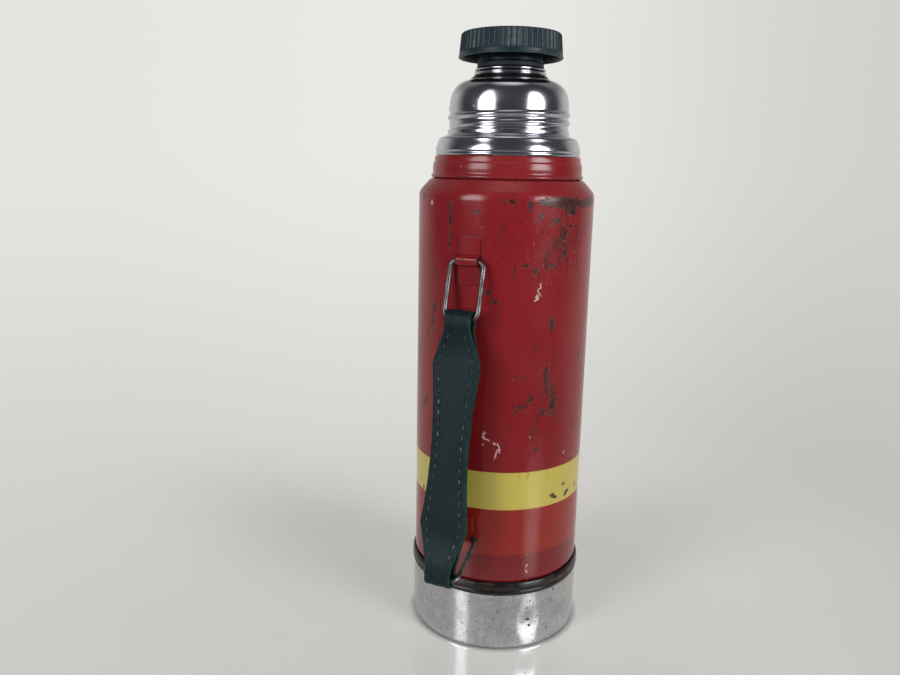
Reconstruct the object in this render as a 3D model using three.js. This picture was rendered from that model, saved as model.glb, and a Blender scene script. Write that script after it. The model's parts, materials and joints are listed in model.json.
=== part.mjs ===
// A steel vacuum bottle with a screw stopper and a leather carrying strap on two wire rings.
// Millimetres, +Z up. The origin is the centre of the underside, the bottle's axis is Z, and the
// strap hangs on the -Y side. Outlines are [radius, height] pairs revolved about Z. Their heights are
// measured from a datum a little above the underside, and the whole bottle is raised by that at the end.
import * as THREE from "three";

// ---- driving dimensions ----
const BODY_R = 47.5; // outside of the painted jacket
const SHEET = 0.8; // steel sheet of the jacket, the inner vessel and the base cup
const GAP = 0.3; // clearance between pieces that touch or are welded
const FACETS = 36; // sides of the large round pieces
const INNER_FACETS = 28; // sides of the inner vessel and of the neck
const SMALL_FACETS = 24; // sides of the small round pieces

const UNDERSIDE = -1.8; // underside of the base cup, from the datum
const BASE_R = 48.2; // bare base cup
const BASE_TOP = 31.3;
const SEAM_R = 49.0; // black ring over the jacket's lower seam
const SEAM_TOP = 39.1;
const NECKED_R = 46.5; // jacket where it is drawn in to enter the base cup
const JACKET_FOOT = 10.2; // lower end of the jacket, inside the base cup
const SHOULDER_Z = 243.5; // top of the straight jacket
const COLLAR_BOTTOM = 253.65;
const COLLAR_TOP = 265.2;
const LIP_TOP = 310.2; // rim of the bottle's mouth

const VESSEL_R = 40.3; // outside of the inner vessel
const VESSEL_FLOOR = 33.2; // underside of the inner vessel
const VESSEL_SEAM = 46; // where its bottom is welded on
const MOUTH_R = 16.6; // inside of the inner neck
const NECK_FOOT = 262; // where the inner neck is welded on
const VACUUM_FLOOR = 18.8; // upper face of the plate that closes the jacket

// Each thread's ridge stands on a wall of that radius, and depth is negative on an inner wall. start
// is the height where the ridge begins on the -Y side.
const CUP_THREAD = { radius: 31.7, depth: 1, width: 3.4, pitch: 4.3, turns: 1.75, start: 281.5 };
const MOUTH_THREAD = { radius: MOUTH_R, depth: -0.8, width: 2.4, pitch: 4, turns: 2, start: 292 };
const STEM_THREAD = { radius: 14.3, depth: 1.1, width: 2.4, pitch: 4, turns: 2, start: 294 };

const CAP_TOP = 327.8;
const CAP_CEILING = CAP_TOP - 3; // underside of its top
const CAP_RIM = 315.3;
const STEM_FOOT = 266;
const STEM_BORE = 12.7;

const WIRE_R = 1.25; // wire of the strap's rings
const RING_WIDTH = 18.5; // between the centres of a ring's side wires
const RING_LENGTH = 28.6; // between the centres of a ring's bars
const RING_CORNER = 3.5; // corner radius at the wire's centre
const PIVOT_OUT = 1.8; // ring's pivot bar, out from the jacket
const UPPER_PIVOT_Z = 213.5;
const LOWER_PIVOT_Z = 64.5;
const UPPER_SWING = 15; // degrees that each ring hangs out from straight down
const LOWER_SWING = 65.4;

const BRACKET = { width: 12.2, half: 12.1, plate: 0.6, arch: 1.6, rise: 3.6, ramp: 1.5, off: 0.3 };

const LEATHER = 1.5; // one ply
const POCKET_R = 2.55; // room round a ring's bar in the strap's folded ends
const POCKET_PLAY = 4.6; // free length of the lower fold, which the ring's bar slides along
const STRAP = { end: 7.2, flare: 6, shoulder: 13.2, waist: 10.2, upper: 23.5, lower: 27.5 };

// ---- materials ----
const finish = (color, roughness, metalness) => ({ color, roughness, metalness });
const RED_ENAMEL = finish(0x9d1a20, 0.3, 0);
const BRIGHT_STEEL = finish(0xc9c9cc, 0.12, 1);
const DULL_STEEL = finish(0xa9a9a8, 0.35, 1);
const VESSEL_STEEL = finish(0xb4b4b6, 0.3, 1);
const BLACK_ENAMEL = finish(0x17120f, 0.3, 0);
const GREEN_PLASTIC = finish(0x1f3b3a, 0.45, 0);
const DARK_PLASTIC = finish(0x14201f, 0.5, 0);
const BLACK_RUBBER = finish(0x121315, 0.7, 0);
const CREAM_FOAM = finish(0xe6dcc0, 0.95, 0);
const COPPER = finish(0xb06a42, 0.4, 1);
const GREY_FELT = finish(0x6c675f, 1, 0);
const GREY_WIRE = finish(0x8c8a86, 0.35, 1);
const GREEN_LEATHER = finish(0x14302c, 0.5, 0);

// ---- shape helpers ----
const radians = THREE.MathUtils.degToRad;

// A solid of revolution. The outline starts and ends on the axis, or is closed here.
function revolve(outline, sides = FACETS) {
  const points = outline.map(([r, z]) => new THREE.Vector2(r, z));
  const onAxis = outline[0][0] === 0 && outline.at(-1)[0] === 0;
  if (!onAxis) points.push(points[0].clone());
  return new THREE.LatheGeometry(points, sides).rotateX(Math.PI / 2);
}

// The outline of a sheet: its outer side, then its inner side a thickness to the left of it.
function sheetOutline(outer, thickness) {
  const inner = outer.map(([r, z], i) => {
    const [r0, z0] = outer[Math.max(i - 1, 0)];
    const [r1, z1] = outer[Math.min(i + 1, outer.length - 1)];
    const length = Math.hypot(r1 - r0, z1 - z0);
    return [r - (thickness * (z1 - z0)) / length, z + (thickness * (r1 - r0)) / length];
  });
  return [...outer, ...inner.reverse()];
}

// Points of a cubic curve between two outline points, with its two handles.
function curve(from, handle1, handle2, to, steps) {
  const vectors = [from, handle1, handle2, to].map(([r, z]) => new THREE.Vector2(r, z));
  return new THREE.CubicBezierCurve(...vectors).getPoints(steps).map((p) => [p.x, p.y]);
}

// Closed body through a row of sections, each with the same number of points.
function skin(sections, looped = false) {
  const size = sections[0].length;
  const index = [];
  const rows = looped ? sections.length : sections.length - 1;
  for (let i = 0; i < rows; i++) {
    const a = i * size;
    const b = ((i + 1) % sections.length) * size;
    for (let k = 0; k < size; k++) {
      const n = (k + 1) % size;
      index.push(a + k, a + n, b + n, a + k, b + n, b + k);
    }
  }
  if (!looped) {
    const last = (sections.length - 1) * size;
    for (let k = 1; k < size - 1; k++) {
      index.push(0, k + 1, k, last, last + k, last + k + 1);
    }
  }
  const geometry = new THREE.BufferGeometry().setFromPoints(sections.flat());
  geometry.setIndex(index);
  return geometry;
}

// Outline points up the wall that a thread stands on, close enough together to show its ridge.
function threadRows({ radius, pitch, turns, start }) {
  const STEPS = 6; // per turn
  const count = Math.ceil((turns + 1) * STEPS);
  const rows = [];
  for (let i = 0; i <= count; i++) rows.push([radius, start + pitch * (i / STEPS - 0.5)]);
  return rows;
}

// A solid of revolution with a right-handed ridge on the rows that threadRows gave. The ridge fades
// in and out over a part of a turn at its two ends.
function threaded(outline, { radius, depth, width, pitch, turns, start }, sides) {
  const FADE = 0.15; // turns
  const geometry = revolve(outline, sides);
  const place = geometry.attributes.position;
  for (let i = 0; i < place.count; i++) {
    const [x, y, z] = [place.getX(i), place.getY(i), place.getZ(i)];
    const r = Math.hypot(x, y);
    if (Math.abs(r - radius) > 1e-3) continue;
    const share = Math.atan2(x, -y) / (2 * Math.PI); // of a turn from -Y
    const rise = (z - start) / pitch - share;
    const turn = Math.round(rise) + share;
    const away = Math.abs(rise - Math.round(rise)) * pitch;
    const fade = Math.min(1, 1 + turn / FADE, 1 + (turns - turn) / FADE);
    const ridge = Math.min(1, (width / 2 - away) / (width * 0.375));
    const scale = 1 + (depth / r) * Math.max(0, fade) * Math.max(0, ridge);
    place.setXYZ(i, x * scale, y * scale, z);
  }
  return geometry;
}

// ---- outer jacket ----
function outerShell() {
  const straight = [
    [NECKED_R, JACKET_FOOT],
    [NECKED_R, SEAM_TOP - 0.9],
    [BODY_R, SEAM_TOP + 0.7],
    [BODY_R, SHOULDER_Z],
  ];
  const shoulder = [
    [47.1, 246.2],
    [45.9, 248.4],
    [41.7, 252.9],
    [40.9, 253.2],
    [39.5, 253.3],
    [38.7, 254.3],
    [38.7, 260.5],
  ];
  return revolve(sheetOutline([...straight, ...shoulder], SHEET));
}

function shoulderCollar() {
  const outside = [
    [39.9, COLLAR_BOTTOM],
    [40.3, COLLAR_BOTTOM],
    [40.9, 254.3],
    [40.9, 255.1],
    [40.2, 256.1],
    [40.25, 259],
    [39.9, 261.6],
    [39.4, 262.1],
    [39.3, 263.8],
    [38.95, COLLAR_TOP],
  ];
  const inside = [
    [38.1, COLLAR_TOP],
    [38.4, 262.4],
    [39.1, 261.3],
    [39.1, 254.8],
  ];
  return revolve([...outside, ...inside]);
}

function neckShell() {
  const bottom = COLLAR_TOP + GAP;
  const root = CUP_THREAD.radius;
  const flange = [
    [38.7, bottom],
    [38.85, 266.3],
    [38.5, 266.9],
    [38.85, 268],
    [38.5, 270],
    [37.5, 272.4],
    [37.2, 273.8],
    [36.4, 274.5],
    [33, 275.6],
    [32.5, 276.4],
  ];
  const dome = curve([root - 0.1, 291.6], [31, 297], [28.6, 302.2], [23.6, 303.9], 6);
  const lip = [
    [20.2, 305.6],
    [18.6, 306.6],
    [19, 307.6],
    [18.7, 308.5],
  ];
  const inside = [
    [18.1, 308.5],
    [18.1, 306],
    ...curve([23.1, 303.3], [28, 301.6], [30.3, 297], [root - 0.7, 290.4], 4),
    [root - 0.7, 280.4],
    [31.8, 279],
    [31.8, 275.9],
    [36.2, 273.6],
    [37.9, 269],
    [38, bottom],
  ];
  const wall = [[32.5, 278.2], ...threadRows(CUP_THREAD)];
  const outline = [...flange, ...wall, ...dome, ...lip, ...inside];
  return threaded(outline, CUP_THREAD, INNER_FACETS);
}

function jacketBottom() {
  const R = NECKED_R - SHEET - GAP;
  const outline = [
    [3.4, VACUUM_FLOOR - SHEET],
    [R - 5.4, VACUUM_FLOOR - SHEET],
    [R - 1.9, 16.6],
    [R - SHEET, 13.8],
    [R - SHEET, JACKET_FOOT + 0.2],
    [R, JACKET_FOOT + 0.2],
    [R, 14],
    [R - 1.4, 17.3],
    [R - 5.1, VACUUM_FLOOR],
    [3.4, VACUUM_FLOOR],
  ];
  return revolve(outline, INNER_FACETS);
}

// Copper tube that the air was drawn out through, pinched shut at its lower end.
function evacuationTube() {
  const seat = VACUUM_FLOOR + GAP;
  const outline = [
    [0, 7.2],
    [1, 7.2],
    [2.6, 9],
    [3, 11],
    [3, seat],
    [4.8, seat],
    [4.8, seat + 0.9],
    [1.9, seat + 0.9],
    [1.9, 11.6],
    [1.5, 10.4],
    [0, 9.9],
  ];
  return revolve(outline, 16);
}

// ---- inner vessel ----
function linerBody() {
  const wall = [[VESSEL_R, VESSEL_SEAM + GAP]];
  const neckR = MOUTH_R + SHEET;
  const shoulder = curve([VESSEL_R, 222], [VESSEL_R, 243], [19, 243], [neckR, 258], 6);
  const outer = [...wall, ...shoulder, [neckR, NECK_FOOT]];
  return revolve(sheetOutline(outer, SHEET), INNER_FACETS);
}

function linerBottom() {
  const bend = curve([30, VESSEL_FLOOR], [36, VESSEL_FLOOR], [VESSEL_R, 37], [VESSEL_R, 43], 4);
  const outer = [[0, VESSEL_FLOOR], ...bend, [VESSEL_R, VESSEL_SEAM]];
  return revolve(sheetOutline(outer, SHEET), INNER_FACETS);
}

function linerNeck() {
  const outside = MOUTH_R + SHEET;
  const outline = [
    [outside, NECK_FOOT + GAP],
    [outside, 308.4],
    [17.8, 308.95],
    [18.6, 309],
    [18.8, 309.6],
    [18.2, LIP_TOP],
    [17.1, LIP_TOP],
    [MOUTH_R, 309.5],
    ...threadRows(MOUTH_THREAD).reverse(),
    [MOUTH_R, NECK_FOOT + GAP],
  ];
  return threaded(outline, MOUTH_THREAD, SMALL_FACETS);
}

// Spool that keeps the inner vessel's bottom off the jacket's plate.
function linerSupport() {
  const bottom = VACUUM_FLOOR + GAP;
  const top = VESSEL_FLOOR - GAP;
  const outline = [
    [10, bottom],
    [14, bottom],
    [14, bottom + 1],
    [11.2, bottom + 2.2],
    [11.2, top - 2.2],
    [14, top - 1],
    [14, top],
    [10, top],
  ];
  return revolve(outline, SMALL_FACETS);
}

function getterPack() {
  const outline = [
    [0, 0],
    [7, 0],
    [7.4, 0.5],
    [7.4, 3.5],
    [7, 4],
    [0, 4],
  ];
  return revolve(outline, 16);
}

// ---- base ----
function baseRing() {
  return revolve([
    [NECKED_R + 0.4, BASE_TOP + GAP],
    [BASE_R + 0.2, BASE_TOP + GAP],
    [SEAM_R - 0.2, 32.3],
    [SEAM_R, 33.4],
    [SEAM_R - 0.1, 35.4],
    [SEAM_R, 37.3],
    [SEAM_R - 0.4, 38.6],
    [SEAM_R - 1.2, SEAM_TOP],
    [NECKED_R + 0.4, 37.6],
  ]);
}

function baseCup() {
  const CORNER = 2;
  const corner = [22.5, 45, 67.5].map((a) => [
    BASE_R - CORNER + CORNER * Math.sin(radians(a)),
    UNDERSIDE + CORNER - CORNER * Math.cos(radians(a)),
  ]);
  const flat = [[0, UNDERSIDE], [BASE_R - CORNER, UNDERSIDE]];
  const wall = [[BASE_R, UNDERSIDE + CORNER], [BASE_R, BASE_TOP]];
  return revolve(sheetOutline([...flat, ...corner, ...wall], SHEET));
}

function basePad() {
  const top = JACKET_FOOT - 0.4;
  const bottom = UNDERSIDE + SHEET + GAP;
  return revolve([
    [8, bottom],
    [43.5, bottom],
    [45.5, bottom + 2],
    [45.5, top],
    [8, top],
  ]);
}

// ---- stopper ----
function stopperCap() {
  const SOCKET = 15.9;
  const HUB_R = 17;
  const outline = [
    [0, CAP_TOP],
    [25.5, CAP_TOP],
    [26.3, CAP_TOP - 0.7],
    [27.4, CAP_RIM + 2],
    [27.5, CAP_RIM + 0.6],
    [27.1, CAP_RIM],
    [26, CAP_RIM + 0.2],
    [25.3, CAP_RIM + 2],
    [24.5, CAP_CEILING],
    [18, CAP_CEILING],
    [HUB_R, CAP_CEILING - 2.5],
    [HUB_R, 313.2],
    [SOCKET, 313.2],
    [SOCKET, CAP_CEILING],
    [0, CAP_CEILING],
  ];
  return revolve(outline.reverse());
}

function stopperStem() {
  const TOP_R = 15.4;
  const outline = [
    [STEM_BORE, STEM_FOOT],
    [13.3, STEM_FOOT],
    [14, 268],
    [STEM_THREAD.radius, 270],
    ...threadRows(STEM_THREAD),
    [STEM_THREAD.radius, 308.5],
    [TOP_R, 309.4],
    [TOP_R, CAP_CEILING - GAP],
    [STEM_BORE, CAP_CEILING - GAP],
  ];
  return threaded(outline, STEM_THREAD, SMALL_FACETS);
}

function stopperGasket() {
  const bottom = LIP_TOP + GAP;
  const top = 312.8;
  const outline = [
    [16, bottom],
    [17.2, bottom],
    [17.6, bottom + 0.5],
    [17.6, top - 0.6],
    [17.2, top],
    [16, top],
  ];
  return revolve(outline, SMALL_FACETS);
}

function stopperCore() {
  const R = STEM_BORE - GAP;
  return revolve([[0, 269], [R, 269], [R, CAP_TOP - 4.5], [0, CAP_TOP - 4.5]], SMALL_FACETS);
}

function stopperEndDisc() {
  const plug = STEM_BORE - GAP;
  const outline = [
    [0, STEM_FOOT - 1.6],
    [12.4, STEM_FOOT - 1.6],
    [13.3, STEM_FOOT - 0.9],
    [13.3, STEM_FOOT - GAP],
    [plug, STEM_FOOT - GAP],
    [plug, 268.6],
    [0, 268.6],
  ];
  return revolve(outline, SMALL_FACETS);
}

// ---- strap fittings ----
// A strip spot-welded to the jacket, with an arch over the ring's bar. It is bent to the jacket
// everywhere but on the arch, which is straight so that the straight bar turns in it.
function bracket() {
  const { width, half, plate, arch, rise, ramp, off } = BRACKET;
  const inner = [
    [off, -half],
    [off, -arch - ramp],
    [rise - 0.9, -arch],
    [rise, -arch + 0.8],
    [rise, arch - 0.8],
    [rise - 0.9, arch],
    [off, arch + ramp],
    [off, half],
  ];
  const outer = inner.map(([out, z]) => {
    const shift = out === off ? Math.sign(z) * 0.35 : Math.sign(z) * 0.5;
    return [out + plate, Math.abs(z) === half ? z : z + shift];
  });
  const outline = [...inner, ...outer.reverse()];
  const columns = [-1, -0.5, 0, 0.5, 1].map((share) => (share * width) / 2);
  const sections = columns.map((x) => {
    const sag = BODY_R - Math.sqrt(BODY_R ** 2 - x ** 2);
    return outline.map(([out, z]) => {
      const bent = sag * Math.max(0, 1 - (out - off) / rise);
      return new THREE.Vector3(x, -(BODY_R + out - bent), z);
    });
  });
  // The outline isn't convex, so its ends are closed by triangulating it.
  const flat = outline.map(([out, z]) => new THREE.Vector2(out, z));
  const faces = THREE.ShapeUtils.triangulateShape(flat, []);
  const geometry = skin(sections);
  const size = outline.length;
  const last = (sections.length - 1) * size;
  const walls = Array.from(geometry.index.array).slice(0, last * 6);
  const clockwise = THREE.ShapeUtils.isClockWise(flat);
  for (const [a, b, c] of faces) {
    const [p, q] = clockwise ? [c, b] : [b, c];
    walls.push(a, q, p, last + a, last + p, last + q);
  }
  geometry.setIndex(walls);
  return geometry;
}

// A closed rectangle of wire with round corners. Its pivot bar lies on X, and it hangs down -Z.
function wireRing() {
  const SIDES = 8;
  const CORNER_STEPS = 4;
  const sections = [];
  const corners = [
    [1, 0, 90],
    [1, 1, 0],
    [-1, 1, -90],
    [-1, 0, -180],
  ];
  for (const [side, far, from] of corners) {
    const cx = side * (RING_WIDTH / 2 - RING_CORNER);
    const cz = far ? RING_CORNER - RING_LENGTH : -RING_CORNER;
    for (let i = 0; i <= CORNER_STEPS; i++) {
      const angle = radians(from - (90 * i) / CORNER_STEPS);
      const out = new THREE.Vector3(Math.cos(angle), 0, Math.sin(angle));
      const section = [];
      for (let k = 0; k < SIDES; k++) {
        const turn = (2 * Math.PI * (k + 0.5)) / SIDES;
        const reach = RING_CORNER + WIRE_R * Math.cos(turn);
        const y = -WIRE_R * Math.sin(turn);
        section.push(new THREE.Vector3(cx + out.x * reach, y, cz + out.z * reach));
      }
      sections.push(section);
    }
  }
  return skin(sections, true);
}

// ---- strap ----
// In the strap's own frame its upper ring bar is the origin, -Z runs down the strap and -Y is its
// outer face. "along" is the distance down the strap and "out" the distance towards its outer face.
const upperBar = [
  PIVOT_OUT + RING_LENGTH * Math.sin(radians(UPPER_SWING)),
  UPPER_PIVOT_Z - RING_LENGTH * Math.cos(radians(UPPER_SWING)),
];
const lowerBar = [
  PIVOT_OUT + RING_LENGTH * Math.sin(radians(LOWER_SWING)),
  LOWER_PIVOT_Z - RING_LENGTH * Math.cos(radians(LOWER_SWING)),
];
const strapLength = Math.hypot(lowerBar[0] - upperBar[0], lowerBar[1] - upperBar[1]);
const strapTilt = Math.atan2(lowerBar[0] - upperBar[0], upperBar[1] - lowerBar[1]);

// Half the strap's width: narrow folded ends, a shoulder below each, and a narrower grip.
function strapHalfWidth(along) {
  const upperHalf = along < strapLength / 2;
  const fromEnd = upperHalf ? along : strapLength - along;
  const shoulderAt = upperHalf ? STRAP.upper : STRAP.lower;
  if (fromEnd < STRAP.flare) return STRAP.end;
  if (fromEnd < shoulderAt) {
    const share = (fromEnd - STRAP.flare) / (shoulderAt - STRAP.flare);
    return STRAP.end + (STRAP.shoulder - STRAP.end) * share;
  }
  const share = Math.min(1, (fromEnd - shoulderAt) / (strapLength / 2 - shoulderAt));
  return STRAP.waist + (STRAP.shoulder - STRAP.waist) * (1 - share) ** 2;
}

// A strip of leather that follows [along, out] points.
function leatherStrip(route) {
  const sections = route.map(([along, out], i) => {
    const [a0, o0] = route[Math.max(i - 1, 0)];
    const [a1, o1] = route[Math.min(i + 1, route.length - 1)];
    const length = Math.hypot(a1 - a0, o1 - o0);
    const normal = [-(o1 - o0) / length, (a1 - a0) / length];
    const w = strapHalfWidth(along);
    const corner = (x, side) =>
      new THREE.Vector3(
        x,
        -(out + (side * normal[1] * LEATHER) / 2),
        -(along + (side * normal[0] * LEATHER) / 2),
      );
    return [corner(-w, 1), corner(-w, -1), corner(w, -1), corner(w, 1)];
  });
  return skin(sections);
}

const PLY = LEATHER / 2 + GAP / 2; // middle of a ply where the two lie together
const FOLD = POCKET_R + LEATHER / 2; // middle of a ply round a ring's bar
const CLOSE = 10; // length over which a pocket closes
const TAIL = 19; // how far a folded end reaches back along the strap

// The outer ply runs the whole length, and its folded ends return behind the rings' bars.
function strapFace() {
  const fold = (centre, direction) =>
    [-90, -67.5, -45, -22.5, 0, 22.5, 45, 67.5, 90].map((a) => [
      centre + direction * FOLD * Math.cos(radians(a)),
      FOLD * Math.sin(radians(a)),
    ]);
  const lower = strapLength;
  const tailTop = [
    [TAIL, -PLY],
    [CLOSE + 3, -PLY - 0.5],
    [CLOSE / 2 + 2, -(PLY + FOLD) / 2 - 0.3],
    [3, -FOLD],
  ];
  const mid = [];
  for (let i = 0; i <= 8; i++) {
    const share = i / 8;
    mid.push([STRAP.upper + share * (lower - STRAP.lower - STRAP.upper), PLY]);
  }
  const front = [
    ...tailTop.slice(1).reverse().map(([along, out]) => [along, -out]),
    [TAIL, PLY],
    ...mid,
    [lower - TAIL - POCKET_PLAY + 1, PLY],
    [lower - CLOSE - 3 - POCKET_PLAY, PLY + 0.5],
    [lower - CLOSE / 2 - 2 - POCKET_PLAY, (PLY + FOLD) / 2 + 0.3],
    [lower - 3 - POCKET_PLAY, FOLD],
  ];
  const tailBottom = front.slice(-4).reverse().map(([along, out]) => [along, -out]);
  const foldTop = fold(0, -1);
  const foldBottom = fold(lower, 1).reverse();
  return leatherStrip([...tailTop, ...foldTop, ...front, ...foldBottom, ...tailBottom]);
}

function strapLining() {
  const from = TAIL + GAP;
  const to = strapLength - TAIL - POCKET_PLAY - GAP;
  const route = [];
  for (let i = 0; i <= 12; i++) route.push([from + ((to - from) * i) / 12, -PLY]);
  return leatherStrip(route);
}

// ---- assembly ----
function piece(name, geometry, { color, roughness, metalness }) {
  const material = new THREE.MeshStandardMaterial({ name, color, roughness, metalness });
  const mesh = new THREE.Mesh(geometry, material);
  mesh.name = name;
  return mesh;
}

function placed(object, y, z, tilt) {
  object.position.set(0, y, z);
  object.rotation.x = -tilt;
  return object;
}

const bottle = new THREE.Group();

const jacket = new THREE.Group();
jacket.add(piece("outer_shell", outerShell(), RED_ENAMEL));
jacket.add(piece("shoulder_collar", shoulderCollar(), RED_ENAMEL));
jacket.add(piece("neck_shell", neckShell(), BRIGHT_STEEL));
jacket.add(piece("jacket_bottom", jacketBottom(), VESSEL_STEEL));
jacket.add(piece("evacuation_tube", evacuationTube(), COPPER));

const vessel = new THREE.Group();
const getter = piece("getter_pack", getterPack(), DULL_STEEL);
getter.position.set(27, 0, VACUUM_FLOOR + GAP);
vessel.add(piece("liner_body", linerBody(), VESSEL_STEEL));
vessel.add(piece("liner_bottom", linerBottom(), VESSEL_STEEL));
vessel.add(piece("liner_neck", linerNeck(), VESSEL_STEEL));
vessel.add(piece("liner_support", linerSupport(), VESSEL_STEEL));
vessel.add(getter);

const base = new THREE.Group();
base.add(piece("base_ring", baseRing(), BLACK_ENAMEL));
base.add(piece("base_cup", baseCup(), DULL_STEEL));
base.add(piece("base_pad", basePad(), GREY_FELT));

const stopper = new THREE.Group();
stopper.add(piece("stopper_cap", stopperCap(), GREEN_PLASTIC));
stopper.add(piece("stopper_stem", stopperStem(), DARK_PLASTIC));
stopper.add(piece("stopper_gasket", stopperGasket(), BLACK_RUBBER));
stopper.add(piece("stopper_core", stopperCore(), CREAM_FOAM));
stopper.add(piece("stopper_end_disc", stopperEndDisc(), DARK_PLASTIC));

const carrier = new THREE.Group();
for (const [side, pivotZ, swing] of [
  ["upper", UPPER_PIVOT_Z, UPPER_SWING],
  ["lower", LOWER_PIVOT_Z, LOWER_SWING],
]) {
  carrier.add(placed(piece(`${side}_bracket`, bracket(), RED_ENAMEL), 0, pivotZ, 0));
  const ring = piece(`${side}_ring`, wireRing(), GREY_WIRE);
  carrier.add(placed(ring, -(BODY_R + PIVOT_OUT), pivotZ, radians(swing)));
}
const strap = new THREE.Group();
strap.add(piece("strap_face", strapFace(), GREEN_LEATHER));
strap.add(piece("strap_lining", strapLining(), GREEN_LEATHER));
carrier.add(placed(strap, -(BODY_R + upperBar[0]), upperBar[1], strapTilt));

bottle.add(jacket, vessel, base, stopper, carrier);
bottle.position.z = -UNDERSIDE;

export default bottle;
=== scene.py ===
import json
import math

import bmesh
import bpy
import numpy as np
from mathutils import Matrix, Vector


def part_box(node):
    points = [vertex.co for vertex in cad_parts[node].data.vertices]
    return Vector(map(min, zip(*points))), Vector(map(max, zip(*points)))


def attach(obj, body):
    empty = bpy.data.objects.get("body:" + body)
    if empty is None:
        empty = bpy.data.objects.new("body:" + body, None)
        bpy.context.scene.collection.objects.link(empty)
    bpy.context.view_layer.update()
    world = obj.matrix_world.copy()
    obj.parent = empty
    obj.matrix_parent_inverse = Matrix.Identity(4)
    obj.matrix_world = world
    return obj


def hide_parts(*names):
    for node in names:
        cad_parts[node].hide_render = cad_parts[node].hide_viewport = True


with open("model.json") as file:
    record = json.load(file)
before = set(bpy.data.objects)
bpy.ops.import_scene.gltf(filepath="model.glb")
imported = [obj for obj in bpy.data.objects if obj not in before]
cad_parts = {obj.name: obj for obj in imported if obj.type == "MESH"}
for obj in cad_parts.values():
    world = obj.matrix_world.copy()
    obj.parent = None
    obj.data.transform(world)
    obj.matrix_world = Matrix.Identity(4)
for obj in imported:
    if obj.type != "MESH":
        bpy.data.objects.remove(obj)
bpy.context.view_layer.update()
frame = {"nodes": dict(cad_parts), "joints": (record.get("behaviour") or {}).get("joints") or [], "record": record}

# Lengths are in millimetres until a mesh is made, and heights are measured from a datum a little above
# the underside. Angles round the bottle are measured from the strap's side, -Y, towards +X.
MM = 0.001
UNDERSIDE = -1.8


def low(node):
    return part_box(node)[0].z / MM + UNDERSIDE


def top(node):
    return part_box(node)[1].z / MM + UNDERSIDE


def radius(node):
    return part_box(node)[1].x / MM


def joint_place(name):
    """[y, z] of a joint's axis, in millimetres."""
    found = next(j for j in frame["joints"] if j["name"] == name)
    return np.array(found["pos_m"][1:]) / MM + [0, UNDERSIDE]


# ---- sizes, from the frame where it gives them ----
BODY_R = 47.5
SHEET = 0.8
SHOULDER = top("outer_shell") - 17.0  # where the straight jacket ends
SEAM_R = radius("base_ring")
BASE_R = radius("base_cup")
BASE_TOP = top("base_cup")
NECK_FOOT = low("neck_shell")
CAP_TOP = top("stopper_cap")
HUB_FOOT = low("stopper_cap")
CAP_RIM = HUB_FOOT + 2.1
MOUTH_R = 16.6
WIRE_R = 1.25
RING_CORNER = 3.5
RING_HALF = radius("upper_ring") - WIRE_R  # from its middle to a side wire's centre
UPPER_PIVOT = joint_place("upper_ring_swing")
LOWER_PIVOT = joint_place("lower_ring_swing")
UPPER_BAR = joint_place("strap_swing")
RING_LENGTH = float(np.linalg.norm(UPPER_BAR - UPPER_PIVOT))
LOWER_SWING = math.radians(65.4)  # how far the lower ring hangs out from straight down
UPPER_SWING = math.radians(15.0)
LOWER_BAR = LOWER_PIVOT - RING_LENGTH * np.array([math.sin(LOWER_SWING), math.cos(LOWER_SWING)])
STRAP_LENGTH = float(np.linalg.norm(LOWER_BAR - UPPER_BAR))
STRAP_TILT = math.atan2(UPPER_BAR[0] - LOWER_BAR[0], UPPER_BAR[1] - LOWER_BAR[1])

# ---- camera ----
# In metres. Its place, angle and lens were fitted to the bottle's edges in the photograph.
camera = bpy.data.objects.new("camera", bpy.data.cameras.new("camera"))
bpy.context.scene.collection.objects.link(camera)
camera.data.sensor_width = 36
camera.data.lens = 31.12
camera.matrix_world = (
    Matrix.Translation((0.1589, -0.4033, 0.2615))
    @ Matrix.Rotation(math.radians(25.37), 4, "Z")
    @ Matrix.Rotation(math.radians(77.58), 4, "X")
    @ Matrix.Rotation(math.radians(1.10), 4, "Z")
)
bpy.context.scene.camera = camera
bpy.context.scene.view_settings.view_transform = "Standard"


# ---- nodes ----
class Graph:
    """A shader's nodes, added by short calls. Any input takes a plain value or another node's socket."""

    def __init__(self, tree):
        self.nodes, self.links = tree.nodes, tree.links
        self.nodes.clear()

    def add(self, kind, inputs=None, **settings):
        node = self.nodes.new("ShaderNode" + kind)
        for key, value in settings.items():
            setattr(node, key, value)
        for key, value in (inputs or {}).items():
            socket = node.inputs[key]
            if isinstance(value, bpy.types.NodeSocket):
                self.links.new(value, socket)
            elif socket.type == "RGBA":
                socket.default_value = (*value, 1)
            else:
                socket.default_value = value
        return node

    def math(self, operation, *values):
        return self.add("Math", dict(enumerate(values)), operation=operation).outputs[0]

    def times(self, a, b):
        return self.math("MULTIPLY", a, b)

    def larger(self, a, b):
        return self.math("MAXIMUM", a, b)

    def scaled(self, value, factor, offset):
        """value times factor, plus offset."""
        return self.math("MULTIPLY_ADD", value, factor, offset)

    def step(self, value, start, end, low=0.0, high=1.0):
        """A smooth rise from low to high as value goes from start to end."""
        inputs = {0: value, 1: start, 2: end, 3: low, 4: high}
        return self.add("MapRange", inputs, interpolation_type="SMOOTHSTEP").outputs[0]

    def mix(self, share, a, b):
        inputs = {0: share, 6: a, 7: b}
        return self.add("Mix", inputs, data_type="RGBA").outputs[2]

    def split(self, vector):
        return self.add("SeparateXYZ", {0: vector}).outputs


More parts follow.
